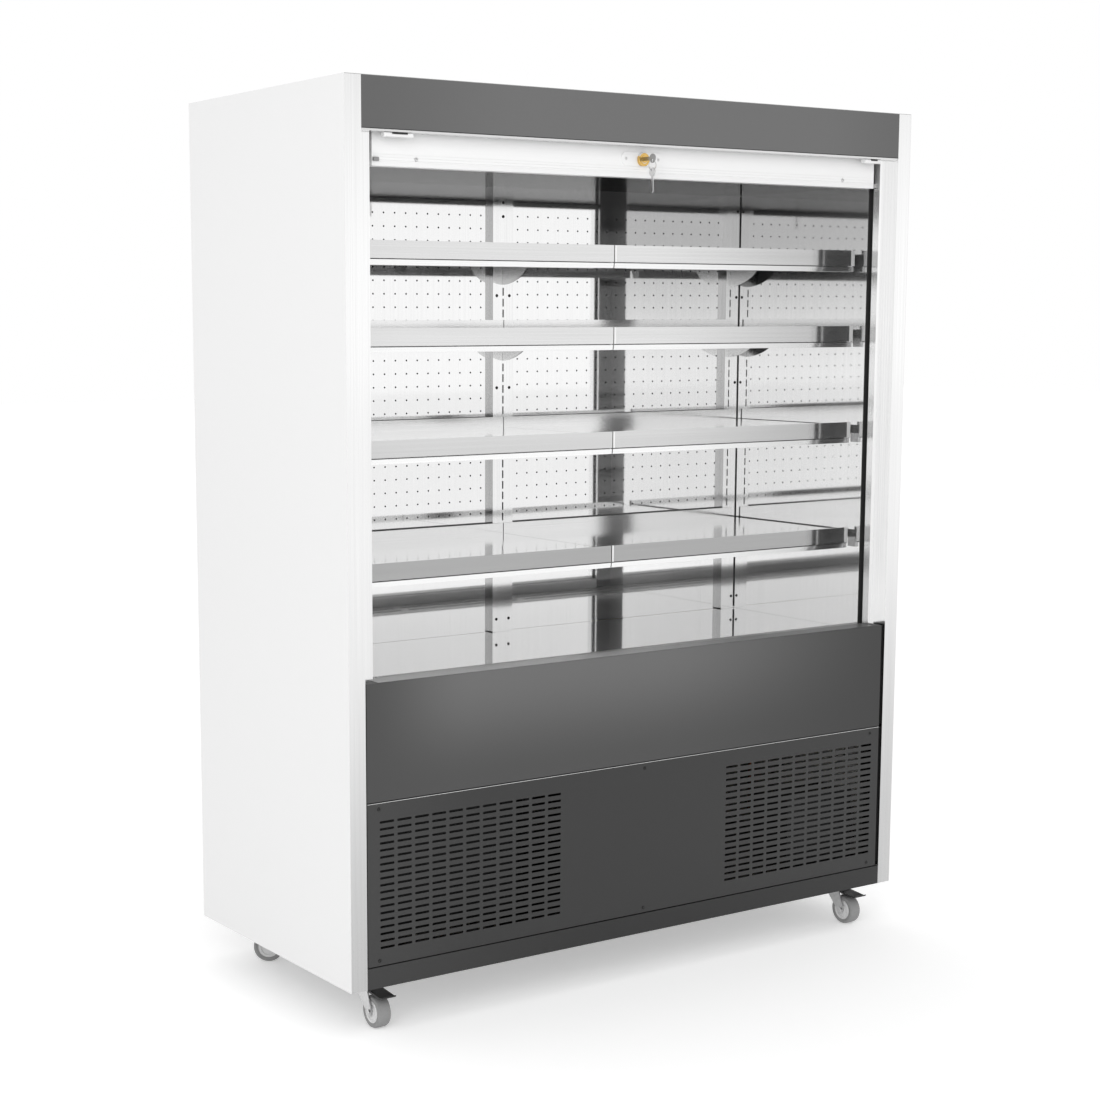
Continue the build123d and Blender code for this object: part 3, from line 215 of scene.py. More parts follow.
BRUSHED_X, BRUSHED_Z = (2, 500, 500), (500, 500, 2)
POLISHED_X, POLISHED_Z = (3, 300, 300), (300, 300, 3)
FINE = (1400, 1400, 1400)
RUBBED_Z = (1500, 1500, 60)
FINS = (1200, 30, 30)
BRIGHT = 0.88                               # metallic share of bright sheet; the rest scatters
SURFACES = {
    "white_paint": surface("white_paint", 0.898, rough=0.32, grain=(900, 900, 900), bump=0.01,
                           spread=0.01, coat=0.15),
    # painted reflection: the canopy's face fades darker towards both ends
    "canopy": surface("graphite_canopy", 0.40, rough=0.4, grain=FINE, bump=0.03,
                      painted_fades=[("X", -0.3, -0.75, 0.35), ("X", 0.45, 0.75, 0.365)]),
    # painted light and shade: the apron darker lower down and towards both ends, its rear faces
    # dark
    "apron": surface("graphite_apron", 0.39, rough=0.4, grain=FINE, bump=0.03,
                     painted_fades=[("Z", 0.72, 0.50, 0.265), ("X", -0.45, -0.73, 0.245),
                            ("X", 0.0, 0.78, 0.18)], turned=[("Y", 1, 0.12)]),
    # painted light and shade: the louvred panel lighter towards its left end, its rear faces near
    # black
    "louvre": surface("graphite_louvre", 0.165, rough=0.42, grain=FINE, bump=0.03,
                      painted_fades=[("X", -0.4, -0.75, 0.205)], turned=[("Y", 1, 0.02)]),
    # painted light and shade: the plinth lighter towards its left end, its rear faces near black
    "plinth": surface("graphite_plinth", 0.125, rough=0.42, grain=FINE, bump=0.03,
                      painted_fades=[("X", -0.1, -0.75, 0.19)], turned=[("Y", 1, 0.02)]),
    # painted reflection: the sill darker towards its right end
    "sill": surface("sill_steel", 0.76, metallic=0.2, rough=0.35, grain=BRUSHED_X,
                    painted_fades=[("X", -0.3, 0.5, 0.52)]),
    # painted reflections: rails darker to the right and lower down, brighter further back, and
    # brighter on top, bottom and rear faces
    "rail": surface("steel_rail", 0.86, BRIGHT, 0.11, BRUSHED_X, rough_spread=0.03, bump=0.015,
                    painted_fades=[("X", 0.05, 0.70, 0.72), ("Z", 1.25, 0.92, 0.68),
                           ("Y", -0.160, -0.150, 0.96)],
                    turned=[("Z", 1, 0.96), ("Z", -1, 0.96), ("Y", 1, 0.93)]),
    # painted reflection: the lips darker towards the right
    "rail_lip": surface("steel_rail_lip", 0.97, BRIGHT, 0.16, BRUSHED_X, bump=0.02,
                        painted_fades=[("X", 0.10, 0.72, 0.80)]),
    "steel_x": surface("steel_brushed_along_x", 0.88, 1.0, 0.2, BRUSHED_X, bump=0.03),
    # painted shade: the posts greyer towards the bottom, their rear faces dark as the shaded jamb
    "post": surface("steel_post", 0.96, 1.0, 0.13, BRUSHED_Z, bump=0.02,
                    painted_fades=[("Z", 1.10, 0.25, 0.80)], turned=[("Y", 1, 0.42)]),
    # painted shade: the uprights' side faces darker than their fronts
    "upright": surface("steel_upright", 0.97, BRIGHT, 0.07, BRUSHED_Z, bump=0.01,
                       turned=[("X", -1, 0.76), ("X", 1, 0.80)]),
    # painted reflection and shade: the liners darker high up, where they mirror the shutter's
    # shaded back, and dark on rear faces
    "liner": surface("polished_liner", 0.965, BRIGHT, 0.035, POLISHED_Z, spread=0.02,
                     rough_spread=0.015, bump=0.004, painted_fades=[("Z", 1.28, 1.66, 0.75)],
                     turned=[("Y", 1, 0.42)]),
    "mirror": surface("polished_back", 0.975, BRIGHT, 0.035, POLISHED_Z, spread=0.02,
                      rough_spread=0.015, bump=0.004),
    "mirror_flat": surface("polished_deck", 0.95, BRIGHT, 0.04, POLISHED_X, spread=0.02,
                           rough_spread=0.02, bump=0.004),
    "tub": surface("brushed_tub", 0.80, BRIGHT, 0.34, BRUSHED_X, bump=0.03),
    # painted shade: a dark base and a black glancing tint make the ceiling look shaded
    "ceiling": surface("polished_ceiling", 0.35, 1.0, 0.14, POLISHED_X, spread=0.05,
                       rough_spread=0.03, bump=0.01, edge=0.0),
    "galvanised": surface("galvanised_sheet", 0.70, 1.0, 0.36, (110, 110, 110), spread=0.12,
                          rough_spread=0.1, bump=0.04, detail=1.0),
    "zinc": surface("bright_zinc", 0.86, 1.0, 0.3, (120, 120, 120), spread=0.08, bump=0.05),
    # painted shade: the bar's rear faces grey as if in shade
    "bar_white": surface("bar_white", 0.95, rough=0.3, grain=BRUSHED_X, spread=0.01, bump=0.01,
                         coat=0.2, turned=[("Y", 1, 0.66)]),
    # painted highlight: white for the bright folded ends of the rails
    "strip": surface("rail_end_highlight", 0.95, rough=0.3, grain=BRUSHED_Z, spread=0.01, bump=0.01),
    "grey_stop": surface("grey_stop", 0.55, rough=0.45, grain=FINE, bump=0.04),
    "trim_white": surface("trim_white", 0.93, rough=0.4, grain=(700, 700, 700), spread=0.02,
                          bump=0.02),
    # painted shade: the slats' rear faces dark
    "slat": surface("slat_aluminium", 0.86, 0.6, 0.34, BRUSHED_X, bump=0.02,
                    turned=[("Y", 1, 0.3)]),
    "key_steel": surface("key_steel", 0.66, 1.0, 0.3, FINE, spread=0.06, bump=0.04),
    "coil": surface("coil_fins", 0.78, 1.0, 0.4, FINS, spread=0.3, bump=0.4),
    # black-coated coil, dark also as painted shade for the compartment seen through the slots
    "coil_black": surface("coil_black", 0.07, rough=0.55, grain=FINS, spread=0.3, bump=0.4),
    "brass": surface("polished_brass", (0.87, 0.72, 0.43), 1.0, 0.18, (300, 300, 300),
                     bump=0.02),
    "copper": surface("drawn_copper", (0.80, 0.50, 0.36), 1.0, 0.28, (90, 90, 90), spread=0.12),
    "black": surface("black_plastic", 0.10, rough=0.42, grain=FINE, bump=0.06),
    # black for pieces of painted shade: in seams and gaps, behind holes and vents, under the canopy
    "dark": surface("painted_shade_black", 0.06, rough=0.6, grain=RUBBED_Z, bump=0.06),
    "guide": surface("guide_grey", 0.24, rough=0.5, grain=RUBBED_Z, bump=0.06),
    "box_grey": surface("control_box_grey", 0.20, rough=0.5, grain=FINE, bump=0.05),
    "pot_black": surface("pot_black", 0.09, rough=0.25, grain=(50, 50, 50), bump=0.03, coat=0.4),
    "tyre": surface("grey_rubber", 0.56, rough=0.6, grain=(700, 700, 700), spread=0.08,
                    bump=0.08),
    "hub": surface("hub_plastic", 0.86, rough=0.4, grain=(900, 900, 900), bump=0.04),
    "foam": surface("cut_foam", (0.93, 0.89, 0.72), rough=0.9, grain=(300, 300, 300),
                    spread=0.12, bump=0.6),
}

SHELVES = [f"shelf_{tier}_{side}" for tier in TIERS for side in SIDES]
NODE_FINISHES = {
    "white_paint": ["side_panel_left", "side_panel_right"],
    "canopy": ["canopy_panel"],
    "apron": ["apron_panel"],
    "louvre": ["louvre_panel"],
    "plinth": ["plinth"],
    "post": ["front_post_left", "front_post_right"],
    "upright": ["slotted_uprights"],
    "rail": SHELVES,
    "steel_x": ["shelf_brackets", "shutter_carrier"],
    "liner": ["side_liners"],
    "mirror": ["back_duct_panels"],
    "mirror_flat": ["deck_pan"],
    "tub": ["return_grille", "tub_liner"],
    "ceiling": ["ceiling_and_air_outlet"],
    "galvanised": ["base_frame", "rear_panel", "roof_panel", "evaporator_fan_plate"],
    "key_steel": ["key"],
    "zinc": ["caster_plates", "key_ring", "spare_key"] + [f"fork_{c}" for c in CORNERS],
    "bar_white": ["shutter_bar"],
    "slat": ["shutter_drum", "shutter_roll", "shutter_curtain"],
    "coil": ["evaporator"],
    "coil_black": ["condenser"],
    "brass": ["lock_cylinder"],
    "copper": ["refrigerant_pipes"],
    "black": ["drip_tray", "mains_inlet", "condenser_fan", "evaporator_fan_left",
              "evaporator_fan_right", "brake_pedal_left", "brake_pedal_right"],
    "guide": ["shutter_guides"],
    "box_grey": ["control_box"],
    "pot_black": ["compressor"],
    "tyre": [f"wheel_{c}" for c in CORNERS],
    "foam": ["wall_insulation"],
}


def dress(node, finish):
    slots = node.data.materials
    if not len(slots):
        slots.append(SURFACES[finish])
    for index in range(len(slots)):
        slots[index] = SURFACES[finish]


for finish, names in NODE_FINISHES.items():
    for name in names:
        dress(nodes[name], finish)


# ---------------------------------------------------------------- making pieces

SHARP_ANGLE = radians(35)
SAME_PLACE = 1e-6                           # metres


def piece(name, verts, faces, finish, body="cabinet", smooth=False):
    """One piece of the scene; with no body it is left unattached."""
    mesh = bpy.data.meshes.new(name)
    mesh.from_pydata([tuple(v) for v in verts], [], faces)
    mesh.validate()
    mesh.materials.append(SURFACES[finish])
    if smooth:
        mesh.shade_smooth()
        mesh.set_sharp_from_angle(angle=SHARP_ANGLE)
    obj = bpy.data.objects.new(name, mesh)
    scene.collection.objects.link(obj)
    if body:
        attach(obj, body)
    return obj


def tidy(obj):
    """Merges doubled points and turns every face outward."""
    bm = bmesh.new()
    bm.from_mesh(obj.data)
    bmesh.ops.remove_doubles(bm, verts=bm.verts, dist=SAME_PLACE)
    bmesh.ops.recalc_face_normals(bm, faces=bm.faces)
    bm.to_mesh(obj.data)
    bm.free()


def joined(name, parts):
    """Several meshes of one body and finish made into one piece."""
    first, bm = parts[0], bmesh.new()
    for part in parts:
        bm.from_mesh(part.data)
    bm.to_mesh(first.data)
    bm.free()
    for part in parts[1:]:
        bpy.data.objects.remove(part)
    first.name = name
    return first


def lathe(name, profile, centre, axis, finish, body="cabinet", sides=48, loop=False):
    """Turns (radius, height) points round an axis through centre, which is in metres.

    A looped profile closes on itself into a ring; any other is closed with a disc at each end.
    """
    axis = Vector(axis).normalized()
    across = axis.orthogonal().normalized()
    third = axis.cross(across)
    verts, faces = [], []
    for radius, height in profile:
        for step in range(sides):
            a = 2 * pi * step / sides
            verts.append(centre + (axis * height + (across * cos(a) + third * sin(a)) * radius)
                         / 1000)
    count = len(profile)
    for ring in range(count if loop else count - 1):
        base, over = ring * sides, (ring + 1) % count * sides
        for step in range(sides):
            after = (step + 1) % sides
            faces.append((base + step, base + after, over + after, over + step))
    for ring in () if loop else (0, count - 1):
        if profile[ring][0] > 0:
            faces.append(tuple(range(ring * sides, (ring + 1) * sides)))
    obj = piece(name, verts, faces, finish, body, smooth=True)
    tidy(obj)
    return obj


def plate(name, profile, x0, x1, finish, body="cabinet"):
    """A closed section drawn in (y, z), carried from x0 to x1."""
    count = len(profile)
    verts = [at(x, y, z) for x in (x0, x1) for y, z in profile]
    faces = [(i, (i + 1) % count, count + (i + 1) % count, count + i) for i in range(count)]
    faces += [tuple(range(count))[::-1], tuple(range(count, 2 * count))]
    obj = piece(name, verts, faces, finish, body)
    tidy(obj)
    return obj


def square(y0, y1, z0, z1):
    """Section with plain corners, for a plate."""
    return [(y0, z0), (y1, z0), (y1, z1), (y0, z1)]


def oblong(half_a, half_b, radius, steps):
    """Rounded rectangle, point by point, quadrant by quadrant."""
    points = []
    for sa, sb, start in ((1, 1, 0), (-1, 1, 90), (-1, -1, 180), (1, -1, 270)):
        for step in range(steps):
            a = radians(start + 90 * step / (steps - 1))
            points.append((sa * (half_a - radius) + radius * cos(a),
                           sb * (half_b - radius) + radius * sin(a)))
    return points


def rounded(y0, y1, z0, z1, radius):
    """Section with rounded corners, for a plate."""
    shape = oblong((y1 - y0) / 2, (z1 - z0) / 2, radius, steps=5)
    return [((y0 + y1) / 2 + a, (z0 + z1) / 2 + b) for a, b in shape]


def screws(name, places, radius, rise, finish, body="cabinet"):
    """Domed heads with a round drive, standing on front faces at the given places."""
    profile = [(radius, 0.0), (radius, 0.25 * rise), (0.86 * radius, 0.75 * rise),
               (0.5 * radius, rise), (0.34 * radius, rise), (0.30 * radius, 0.3 * rise),
               (0.0, 0.3 * rise)]
    return joined(name, [lathe(name, profile, at(*place), TO_VIEWER, finish, body, sides=16)
                         for place in places])


# ---------------------------------------------------------------- pierced sheets

def plain_cell(corners, place, thickness, base):
    """Both skins of a cell with no hole; base is the number of its first point."""
    verts = [place(a, b, depth) for depth in (0, thickness) for a, b in corners]
    return verts, [(base, base + 1, base + 2, base + 3), (base + 7, base + 6, base + 5, base + 4)]


def holed_cell(corners, hole, place, thickness, base):
    """Both skins of a cell round its hole, and the hole's wall.

    The hole's points run quadrant by quadrant, each quadrant beside its own corner.
    """
    verts = [place(a, b, depth) for depth in (0, thickness) for a, b in corners + hole]
    faces, count, per = [], len(hole), len(hole) // 4
    back = base + 4 + count
    for side in range(4):
        for i in range(4 + side * per, 4 + side * per + per - 1):
            faces.append((base + side, base + i, base + i + 1))
            faces.append((back + side, back + i + 1, back + i))
        after = (side + 1) % 4
        last, first = 4 + side * per + per - 1, 4 + after * per
        faces.append((base + side, base + last, base + first, base + after))
        faces.append((back + after, back + first, back + last, back + side))
    for i in range(count):
        j = (i + 1) % count
        faces.append((base + 4 + i, back + 4 + i, back + 4 + j, base + 4 + j))
    return verts, faces


def pierced(cells, shape, place, thickness):
    """Sheet made of cells, each (centre a, centre b, half a, half b, pierced or not).

    shape is the hole's outline about its centre; place turns (a, b, depth) into a point.
    """
    verts, faces = [], []
    for ca, cb, ha, hb, has_hole in cells:
        corners = [(ca + ha, cb + hb), (ca - ha, cb + hb), (ca - ha, cb - hb), (ca + ha, cb - hb)]
        if has_hole:
            hole = [(ca + a, cb + b) for a, b in shape]
            more = holed_cell(corners, hole, place, thickness, len(verts))
        else:
            more = plain_cell(corners, place, thickness, len(verts))
        verts += more[0]
        faces += more[1]
    return verts, faces


def sheet_cells(sheet, grid_lefts, grid_foot, pitch, counts):
    """Cells of a sheet (left, right, foot, top) with grids of holes side by side."""
    left, right, foot, top = sheet
    (pitch_x, pitch_z), (columns, rows) = pitch, counts
    grid_w, grid_h = pitch_x * columns, pitch_z * rows
    cells = [(x + (i + 0.5) * pitch_x, grid_foot + (j + 0.5) * pitch_z, pitch_x / 2, pitch_z / 2,
              True) for x in grid_lefts for i in range(columns) for j in range(rows)]
    for x0, x1 in zip([left] + [x + grid_w for x in grid_lefts], grid_lefts + [right]):
        cells.append(((x0 + x1) / 2, grid_foot + grid_h / 2, (x1 - x0) / 2, grid_h / 2, False))
    for z0, z1 in ((foot, grid_foot), (grid_foot + grid_h, top)):
        cells.append(((left + right) / 2, (z0 + z1) / 2, (right - left) / 2, (z1 - z0) / 2, False))
    return cells


def flange(sheet, front, deep, thickness, base):
    """A sheet's turned-back rim: outer and inner loop in front, then both at the back."""
    left, right, foot, top = sheet
    verts, faces = [], []
    for y in (front, front + deep):
        for t in (0, thickness):
            verts += [at(left + t, y, foot + t), at(right - t, y, foot + t),
                      at(right - t, y, top - t), at(left + t, y, top - t)]
    for i in range(4):
        j = (i + 1) % 4
        faces += [(i, j, 8 + j, 8 + i), (4 + i, 12 + i, 12 + j, 4 + j),
                  (8 + i, 8 + j, 12 + j, 12 + i)]
    return verts, [tuple(base + i for i in face) for face in faces]


def louvre():
    """The louvred panel with each slot punched through."""
    thickness, flange_deep = 1.2, 12.0
    slot_w, slot_h, corner = 34.0, 5.0, 2.0
    pitch_x, pitch_z, columns, rows = 41.6, 14.4, 11, 19
    inner_edge, middle_z = 230.0, 212.0     # a group's first slot, and half its height
    margin = (pitch_x - slot_w) / 2
    group_w = pitch_x * columns
    sheet = (PANEL_LEFT, PANEL_RIGHT, PANEL_FOOT, PANEL_TOP)
    cells = sheet_cells(sheet, [margin - inner_edge - group_w, inner_edge - margin],
                        middle_z - pitch_z * rows / 2, (pitch_x, pitch_z), (columns, rows))
    verts, faces = pierced(cells, oblong(slot_w / 2, slot_h / 2, corner, steps=4),
                           lambda x, z, depth: at(x, PANEL_Y + depth, z), thickness)
    rim_verts, rim_faces = flange(sheet, PANEL_Y, flange_deep, thickness, len(verts))
    obj = piece("punched_louvre_panel", verts + rim_verts, faces + rim_faces, "louvre")
    tidy(obj)
    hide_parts("louvre_panel")


def back_panels():
    """The two perforated sheets of the back wall, which meet in the middle."""
    thickness = 0.8
    hole, corner = 2.2, 2.199               # almost round
    pitch_x, pitch_z, columns, rows = 29.3, 30.0, 22, 24
    first_x, top_row = 52.0, 1574.0
    grid_start, grid_end = first_x - pitch_x / 2, first_x + (columns - 0.5) * pitch_x
    for side, x0, x1, grid_left in (("left", -HALF_INSIDE, -BACK_JOINT, -grid_end),
                                    ("right", BACK_JOINT, HALF_INSIDE, grid_start)):
        cells = sheet_cells((x0, x1, BACK_FOOT, BACK_TOP), [grid_left],
                            top_row - (rows - 0.5) * pitch_z, (pitch_x, pitch_z), (columns, rows))
        verts, faces = pierced(cells, oblong(hole, hole, corner, steps=3),
                               lambda x, z, depth: at(x, BACK_Y + depth, z), thickness)
        obj = piece(f"perforated_back_{side}", verts, faces, "mirror")
        tidy(obj)
        if side == "left":
            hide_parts("back_duct_panels")


# ---------------------------------------------------------------- trim and screws

def front_screws():
    panel_columns, panel_rows = (-681.5, -3.0, 675.0), (369, 56)
    screws("louvre_screws", [(x, PANEL_Y, z) for x in panel_columns for z in panel_rows],
           radius=4.0, rise=1.6, finish="black")
    pair_columns, pair_rows = (-17.7, 17.7), (1391, 1178, 631)
    single_rows = (1604, 1572)
    end_columns, end_rows = (-716.8, 716.8), (1602, 1390, 1177, 631)
    places = [(x, UPRIGHT_Y, z) for x in pair_columns for z in pair_rows]
    places += [(0, UPRIGHT_Y, z) for z in single_rows]
    places += [(x, UPRIGHT_Y, z) for x in end_columns for z in end_rows]
    screws("upright_screws", places, radius=3.6, rise=1.6, finish="black")


def bar_screws():
    plate_y, plate_reach = 31.5, 43.0       # the lock's plate
    screws("lock_plate_screws",
           [(LOCK_X + reach, plate_y, LOCK_Z) for reach in (-plate_reach, plate_reach)],
           radius=3.0, rise=1.0, finish="zinc", body="shutter")
    bar_columns, bar_row = (-568, 572), 1645
    screws("bar_screws", [(x, BAR_Y, bar_row) for x in bar_columns],
           radius=4.0, rise=2.5, finish="zinc", body="shutter")


def lock_rim():
    """Brass ring round the cylinder, a little under the cylinder's own axis."""
    ring = [(8.4, 0.0), (8.4, 0.5), (13.0, 0.5), (13.9, -0.4), (13.9, -7.3), (13.55, -7.3),
            (13.55, 0.0)]
    ring_y, drop = 24.0, 1.0
    lathe("lock_rim", ring, at(LOCK_X, ring_y, LOCK_Z - drop), TO_VIEWER, "brass", "shutter",
          loop=True)


def duct_parts():
    """Painted shade behind the perforated sheets, and the cover of the gap behind the deck."""
    behind, thickness, margin = 1.4, 0.5, 2.0
    # painted shade: black sheets just behind the perforated sheets make their holes look dark
    duct_shade = square(BACK_Y + behind, BACK_Y + behind + thickness,
                    BACK_FOOT + margin, BACK_TOP - margin)
    plate("duct_painted_shade_left", duct_shade, -HALF_INSIDE, -BACK_JOINT, "dark")
    plate("duct_painted_shade_right", duct_shade, BACK_JOINT, HALF_INSIDE, "dark")
    cover_t, over_deck = 0.8, 0.15
    cover = square(BACK_Y - cover_t, BACK_Y, DECK_Z + over_deck, BACK_FOOT + margin)
    plate("deck_rear_cover", cover, margin - HALF_INSIDE, HALF_INSIDE - margin, "mirror")


def upright_feet():
    """Thin strips that carry the uprights' fronts down to the deck."""
    thickness, over_deck, height, side_gap = 0.7, 0.15, 3.0, 1.0
    foot = square(UPRIGHT_Y - thickness, UPRIGHT_Y, DECK_Z + over_deck, DECK_Z + height)
    inner, outer = HALF_INSIDE - UPRIGHT_END, HALF_INSIDE - side_gap
    plate("upright_foot_left", foot, -outer, -inner, "upright")
    plate("upright_foot_middle", foot, -UPRIGHT_HALF, UPRIGHT_HALF, "upright")
    plate("upright_foot_right", foot, inner, outer, "upright")


def corner_seams():
    """Thin dark seams between the end uprights and the side liners."""
    front, back, margin = UPRIGHT_Y - 2.5, UPRIGHT_Y - 0.4, 2.0
    seam = square(front, back, BACK_FOOT + margin, BACK_TOP - margin)
    inner, outer = HALF_INSIDE - 1, HALF_INSIDE + 0.2
    plate("corner_seam_left", seam, -outer, -inner, "box_grey")
    plate("corner_seam_right", seam, inner, outer, "box_grey")


def vent_painted_shades():
    """Dark sheets behind the rear panel's two vents: painted shade in the machine compartment."""
    front, back, foot, top, half_w = 646, 650, 138, 282, 138
    # painted shade: dark sheets that keep the compartment behind the louvre dark
    for name, middle in (("condenser", -460), ("compressor", 330)):
        plate(f"{name}_vent_painted_shade", square(front, back, foot, top),
              middle - half_w, middle + half_w, "dark")


def canopy_trim():
    """Painted shadow line along the canopy's lower edge, and the two catches under it."""
    # painted shadow: a black strip just under the canopy's lower edge
    shadow_front, shadow_back, shadow_h, shadow_gap, shadow_end = 0.3, 2.8, 1.0, 0.1, CANOPY_END - 1
    shadow_line = square(shadow_front, shadow_back, CANOPY_FOOT - shadow_gap - shadow_h, CANOPY_FOOT - shadow_gap)
    plate("canopy_painted_shadow_line", shadow_line, -shadow_end, shadow_end, "dark")
    catch_top = CANOPY_FOOT - 5.8
    catch_h, pad_h, pad_from_left, pad_from_right = 9.2, 3.6, 18, 14
    catch = rounded(6, 20, catch_top - catch_h, catch_top, 3)
    pad = rounded(4, 6.5, catch_top - pad_h, catch_top, 1)
    for side, x0, x1 in (("left", -657, -591), ("right", 615, 665)):
        plate(f"canopy_catch_{side}", catch, x0, x1, "trim_white")
        plate(f"canopy_catch_pad_{side}", pad, x0 + pad_from_left, x1 - pad_from_right, "black")


def bar_trim():
    """Bright foot strip along the bar, with a small stop at its left end."""
    strip_back, strip_foot, strip_top, strip_end = BAR_Y - 0.8, 1629.6, 1638.5, 668.5
    plate("bar_foot_strip", rounded(strip_back, BAR_Y, strip_foot, strip_top, 0.35),
          -strip_end, strip_end, "trim_white", "shutter")
    stop_front, stop_foot, stop_top, stop_left, stop_right = 27, 1638.8, 1646, -668, -656
    plate("bar_end_stop", rounded(stop_front, strip_back, stop_foot, stop_top, 2),
          stop_left, stop_right, "grey_stop", "shutter")


def shelf_trim():
    """White strips at the rails' ends and joint, painted as the folds' highlight, and the turned-in
    lips.
    """
    rail_h, strip_t, strip_w, end_gap = 36.0, 0.7, 10.2, 0.3
    joint_left, joint_right = 1.1, 5.4
    lip_gap, lip_h, lip_end, lip_joint = 2.4, 10.4, 700.0, 1.2
    for tier in TIERS:
        (left, front, _), (_, _, highest) = box(f"shelf_{tier}_left")
        end, top = -left - end_gap, highest - SHELF_UPSTAND
        face = rounded(front - strip_t, front, top - rail_h, top, 0.3)
        # white strips: painted highlight on the rails' folded ends and at their joint
        joined(f"rail_highlight_strips_{tier}",
               [plate("rail_end", face, x0, x1, "strip") for x0, x1 in
                ((-end, strip_w - end), (joint_left, joint_right), (end - strip_w, end))])
        lip_top = top - rail_h - lip_gap
        lip = [(front + 0.4, lip_top), (front + 1.0, lip_top),
               (front + 2.9, lip_top - lip_h + 0.2), (front + 2.2, lip_top - lip_h)]
        joined(f"rail_lips_{tier}",
               [plate("rail_lip", lip, x0, x1, "rail_lip")
                for x0, x1 in ((-lip_end, -lip_joint), (lip_joint, lip_end))])


def panel_trim():
    """Sill behind the apron's edge; painted shade in the lower seam and gaps and painted louvre
    edge.
    """
    sill_front, sill_back, sill_t, sill_end = 6, APRON_BACK - 0.5, 0.4, 679
    plate("sill_strip", square(sill_front, sill_back, APRON_TOP, APRON_TOP + sill_t),
          -sill_end, sill_end, "sill")
    # painted shade: a black strip in the seam between apron and louvred panel
    plate("seam_painted_shadow", square(5, 8, PANEL_TOP + 0.2, APRON_FOOT + 0.3), PANEL_LEFT + 1,
          PANEL_RIGHT - 1, "dark")
    # painted highlight: a white strip along the louvred panel's top edge
    plate("louvre_painted_highlight", square(PANEL_Y - 0.4, PANEL_Y + 0.1, PANEL_TOP - 0.7, PANEL_TOP),
          PANEL_LEFT + 0.5, PANEL_RIGHT - 0.5, "trim_white")
    # painted shade: black strips in the gaps at the lower panels' right end
    shadow_front, shadow_back = 10, 13
    shadow_left, shadow_right = PANEL_RIGHT + 0.4, PANEL_RIGHT + 8.4
    for name, foot, top in (("apron", APRON_FOOT + 2, APRON_TOP - 2.5),
                            ("louvre", PANEL_FOOT + 1.5, PANEL_TOP - 1.5)):
        plate(f"{name}_gap_painted_shadow", square(shadow_front, shadow_back, foot, top), shadow_left, shadow_right,
              "dark")


# ---------------------------------------------------------------- moving pieces

def mirrored(profile):
    """The other half of a turned profile, in the order that carries on from the first."""
    return [(radius, -height) for radius, height in reversed(profile)]


def caster_wheels():
    """Tyre with rounded shoulders, ringed hub and axle nuts, in place of the plain wheels."""
    half, radius, fork_out = 15.5, 34.0, 20.0
    shoulder = [(23.5, half - 1.5), (29.0, half), (32.2, half - 1.6), (33.7, half - 5.0)]
    tyre = shoulder + [(radius, 0.0)] + mirrored(shoulder)
    disc = [(4.1, half - 1.0), (9.0, half - 1.0), (9.6, half - 3.0), (17.0, half - 3.4),
            (18.0, half - 1.2), (20.0, half - 1.2), (21.0, half - 3.0), (23.5, half - 1.6)]
    nut = [(6.6, 0.0), (6.6, 2.2), (4.0, 3.0), (0.0, 3.0)]
    for corner in CORNERS:
        centre, axis = (Vector(joints[f"roll_{corner}"][key]) for key in ("pos_m", "axis"))
        roller = f"roller_{corner}"
        tread = lathe(f"tyre_{corner}", tyre, centre, axis, "tyre", roller, loop=True)
        hub = lathe(f"hub_{corner}", disc + mirrored(disc), centre, axis, "hub", roller)
        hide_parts(f"wheel_{corner}")
        joined(f"axle_nuts_{corner}",
               [lathe(f"axle_nut_{corner}", nut, centre + axis * side * fork_out / 1000,
                      axis * side, "zinc", f"caster_{corner}", sides=6) for side in (-1, 1)])


def slats():
    """Jointed slats between the roll and the bar.

    Heights are spaced so that they come out even when the slats are stretched downwards.
    """
    count, steps_each = 28, 6
    half_t, pinch = 3.5, 0.55
    (_, front, foot_z), (half_w, back, top_z) = box("shutter_curtain")
    middle_y = (front + back) / 2
    steps = count * steps_each
    verts, faces = [], []
    for step in range(steps + 1):
        down = 0.5 - sin(asin(1 - 2 * step / steps) / 3)
        from_middle = abs(2 * (step % steps_each) / steps_each - 1)
        bulge = half_t * (1 - pinch * from_middle ** 3)
        verts += [at(x, y, top_z - (top_z - foot_z) * down) for x in (-half_w, half_w)
                  for y in (middle_y - bulge, middle_y + bulge)]
    for a in range(0, 4 * steps, 4):
        faces += [(a + i, a + j, a + 4 + j, a + 4 + i) for i, j in ((0, 2), (2, 3), (3, 1), (1, 0))]
    end = 4 * steps
    faces += [(0, 1, 3, 2), (end, end + 2, end + 3, end + 1)]
    obj = piece("shutter_slats", verts, faces, "slat", body=None)
    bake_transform(obj)
    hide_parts("shutter_curtain")


for build in (louvre, back_panels, front_screws, bar_screws, lock_rim, duct_parts, upright_feet,
              corner_seams, vent_painted_shades, canopy_trim, bar_trim, shelf_trim, panel_trim,
              caster_wheels, slats):
    build()


# ---------------------------------------------------------------- camera and light

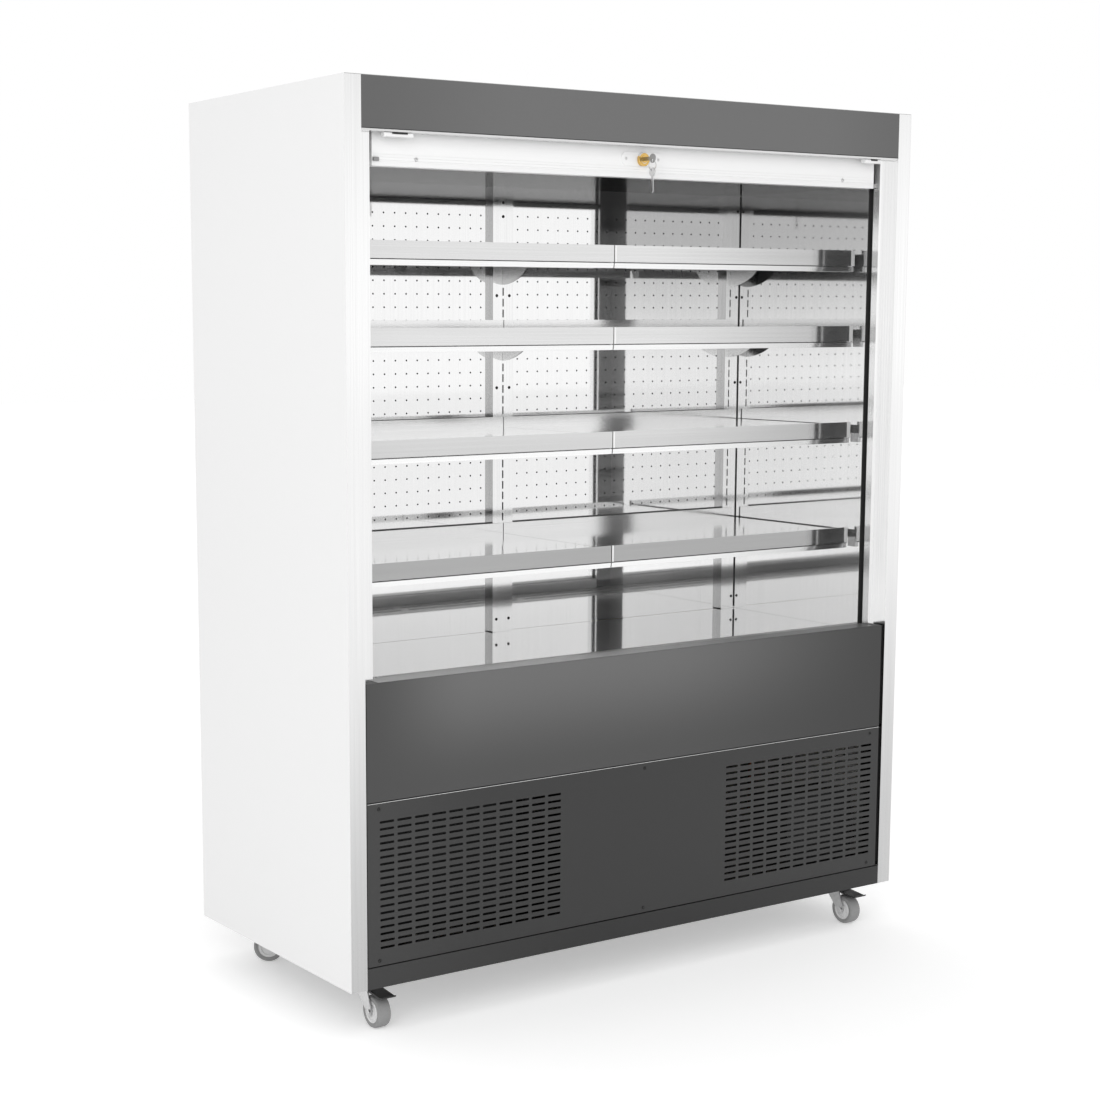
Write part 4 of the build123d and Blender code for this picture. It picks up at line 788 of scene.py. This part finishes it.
def camera():
    """A camera at the angle and distance that the photo's edges give."""
    yaw, pitch, roll = radians(33.19), radians(8.06), radians(-0.127)
    eye = (-2.7466, -3.6996, 1.4351)        # metres, in the row frame
    frame_px, focal_px, centre_x_px, centre_y_px = 1100, 2033.4, 439.8, 608.0
    ahead = Vector((sin(yaw) * cos(pitch), cos(yaw) * cos(pitch), -sin(pitch)))
    level = Vector((cos(yaw), -sin(yaw), 0))
    over = level.cross(ahead)
    right = level * cos(roll) + over * sin(roll)
    up = over * cos(roll) - level * sin(roll)
    data = bpy.data.cameras.new("camera")
    data.sensor_width = 36.0
    data.lens = data.sensor_width * focal_px / frame_px
    data.shift_x = 0.5 - centre_x_px / frame_px
    data.shift_y = centre_y_px / frame_px - 0.5
    data.clip_end = 100
    obj = bpy.data.objects.new("camera", data)
    scene.collection.objects.link(obj)
    turn = Matrix((right, up, -ahead)).transposed()
    obj.matrix_world = Matrix.Translation(eye) @ turn.to_4x4()
    scene.camera = obj


def surroundings():
    """White to the camera; seen in reflections, bright at eye level and dimmer overhead."""
    eye_level, overhead = {"height": 0.02, "light": 1.08}, {"height": 0.30, "light": 0.55}
    scattered_light = 0.85
    world = bpy.data.worlds.new("studio")
    scene.world = world
    world.use_nodes = True
    tree = world.node_tree
    rays = add(tree, "ShaderNodeLightPath", {})
    way = axes_of(tree, add(tree, "ShaderNodeTexCoord", {}).outputs["Generated"])
    reflected = ranged(tree, way["Z"], {
        "From Min": eye_level["height"], "From Max": overhead["height"],
        "To Min": eye_level["light"], "To Max": overhead["light"]}, "SMOOTHSTEP")
    on_surfaces = ranged(tree, rays.outputs["Is Glossy Ray"], {"To Min": scattered_light,
                                                               "To Max": reflected})
    strength = add(tree, "ShaderNodeMath", {0: rays.outputs["Is Camera Ray"], 1: on_surfaces})
    strength.operation = "MAXIMUM"
    fill(tree, tree.nodes["Background"], {"Color": (1, 1, 1, 1),
                                          "Strength": strength.outputs["Value"]})


def floor_paint():
    """Matt and pale, with a glow that lifts it to the background's white."""
    mat = bpy.data.materials.new("studio_floor")
    mat.use_nodes = True
    tree = mat.node_tree
    rays = add(tree, "ShaderNodeLightPath", {})
    fill(tree, tree.nodes["Principled BSDF"], {
        "Base Color": ranged(tree, rays.outputs["Is Glossy Ray"], {"To Min": 0.9, "To Max": 0.95}),
        "Roughness": 0.9,
        "Specular IOR Level": 0.0,
        "Emission Color": (1, 1, 1, 1),
        "Emission Strength": ranged(tree, rays.outputs["Is Camera Ray"],
                                    {"To Min": 0.17, "To Max": 0.3}),
    })
    return mat


def ground():
    size = 30                               # metres from the middle to an edge
    mesh = bpy.data.meshes.new("studio_floor")
    mesh.from_pydata([(-size, -size, 0), (size, -size, 0), (size, size, 0), (-size, size, 0)], [],
                     [(0, 1, 2, 3)])
    mesh.materials.append(floor_paint())
    obj = bpy.data.objects.new("studio_floor", mesh)
    scene.collection.objects.link(obj)


def lamp():
    """One large soft lamp, high at the front left; mirrors don't show it."""
    place, target = Vector((-4.2, -4.0, 3.2)), Vector((0, 0, 0.8))      # metres
    data = bpy.data.lights.new("key", "AREA")
    data.size = 3.0
    data.energy = 95
    obj = bpy.data.objects.new("key", data)
    scene.collection.objects.link(obj)
    obj.location = place
    obj.visible_glossy = False
    obj.rotation_mode = "QUATERNION"
    obj.rotation_quaternion = (target - place).to_track_quat("-Z", "Y")


camera()
surroundings()
ground()
lamp()
scene.view_settings.view_transform = "Standard"
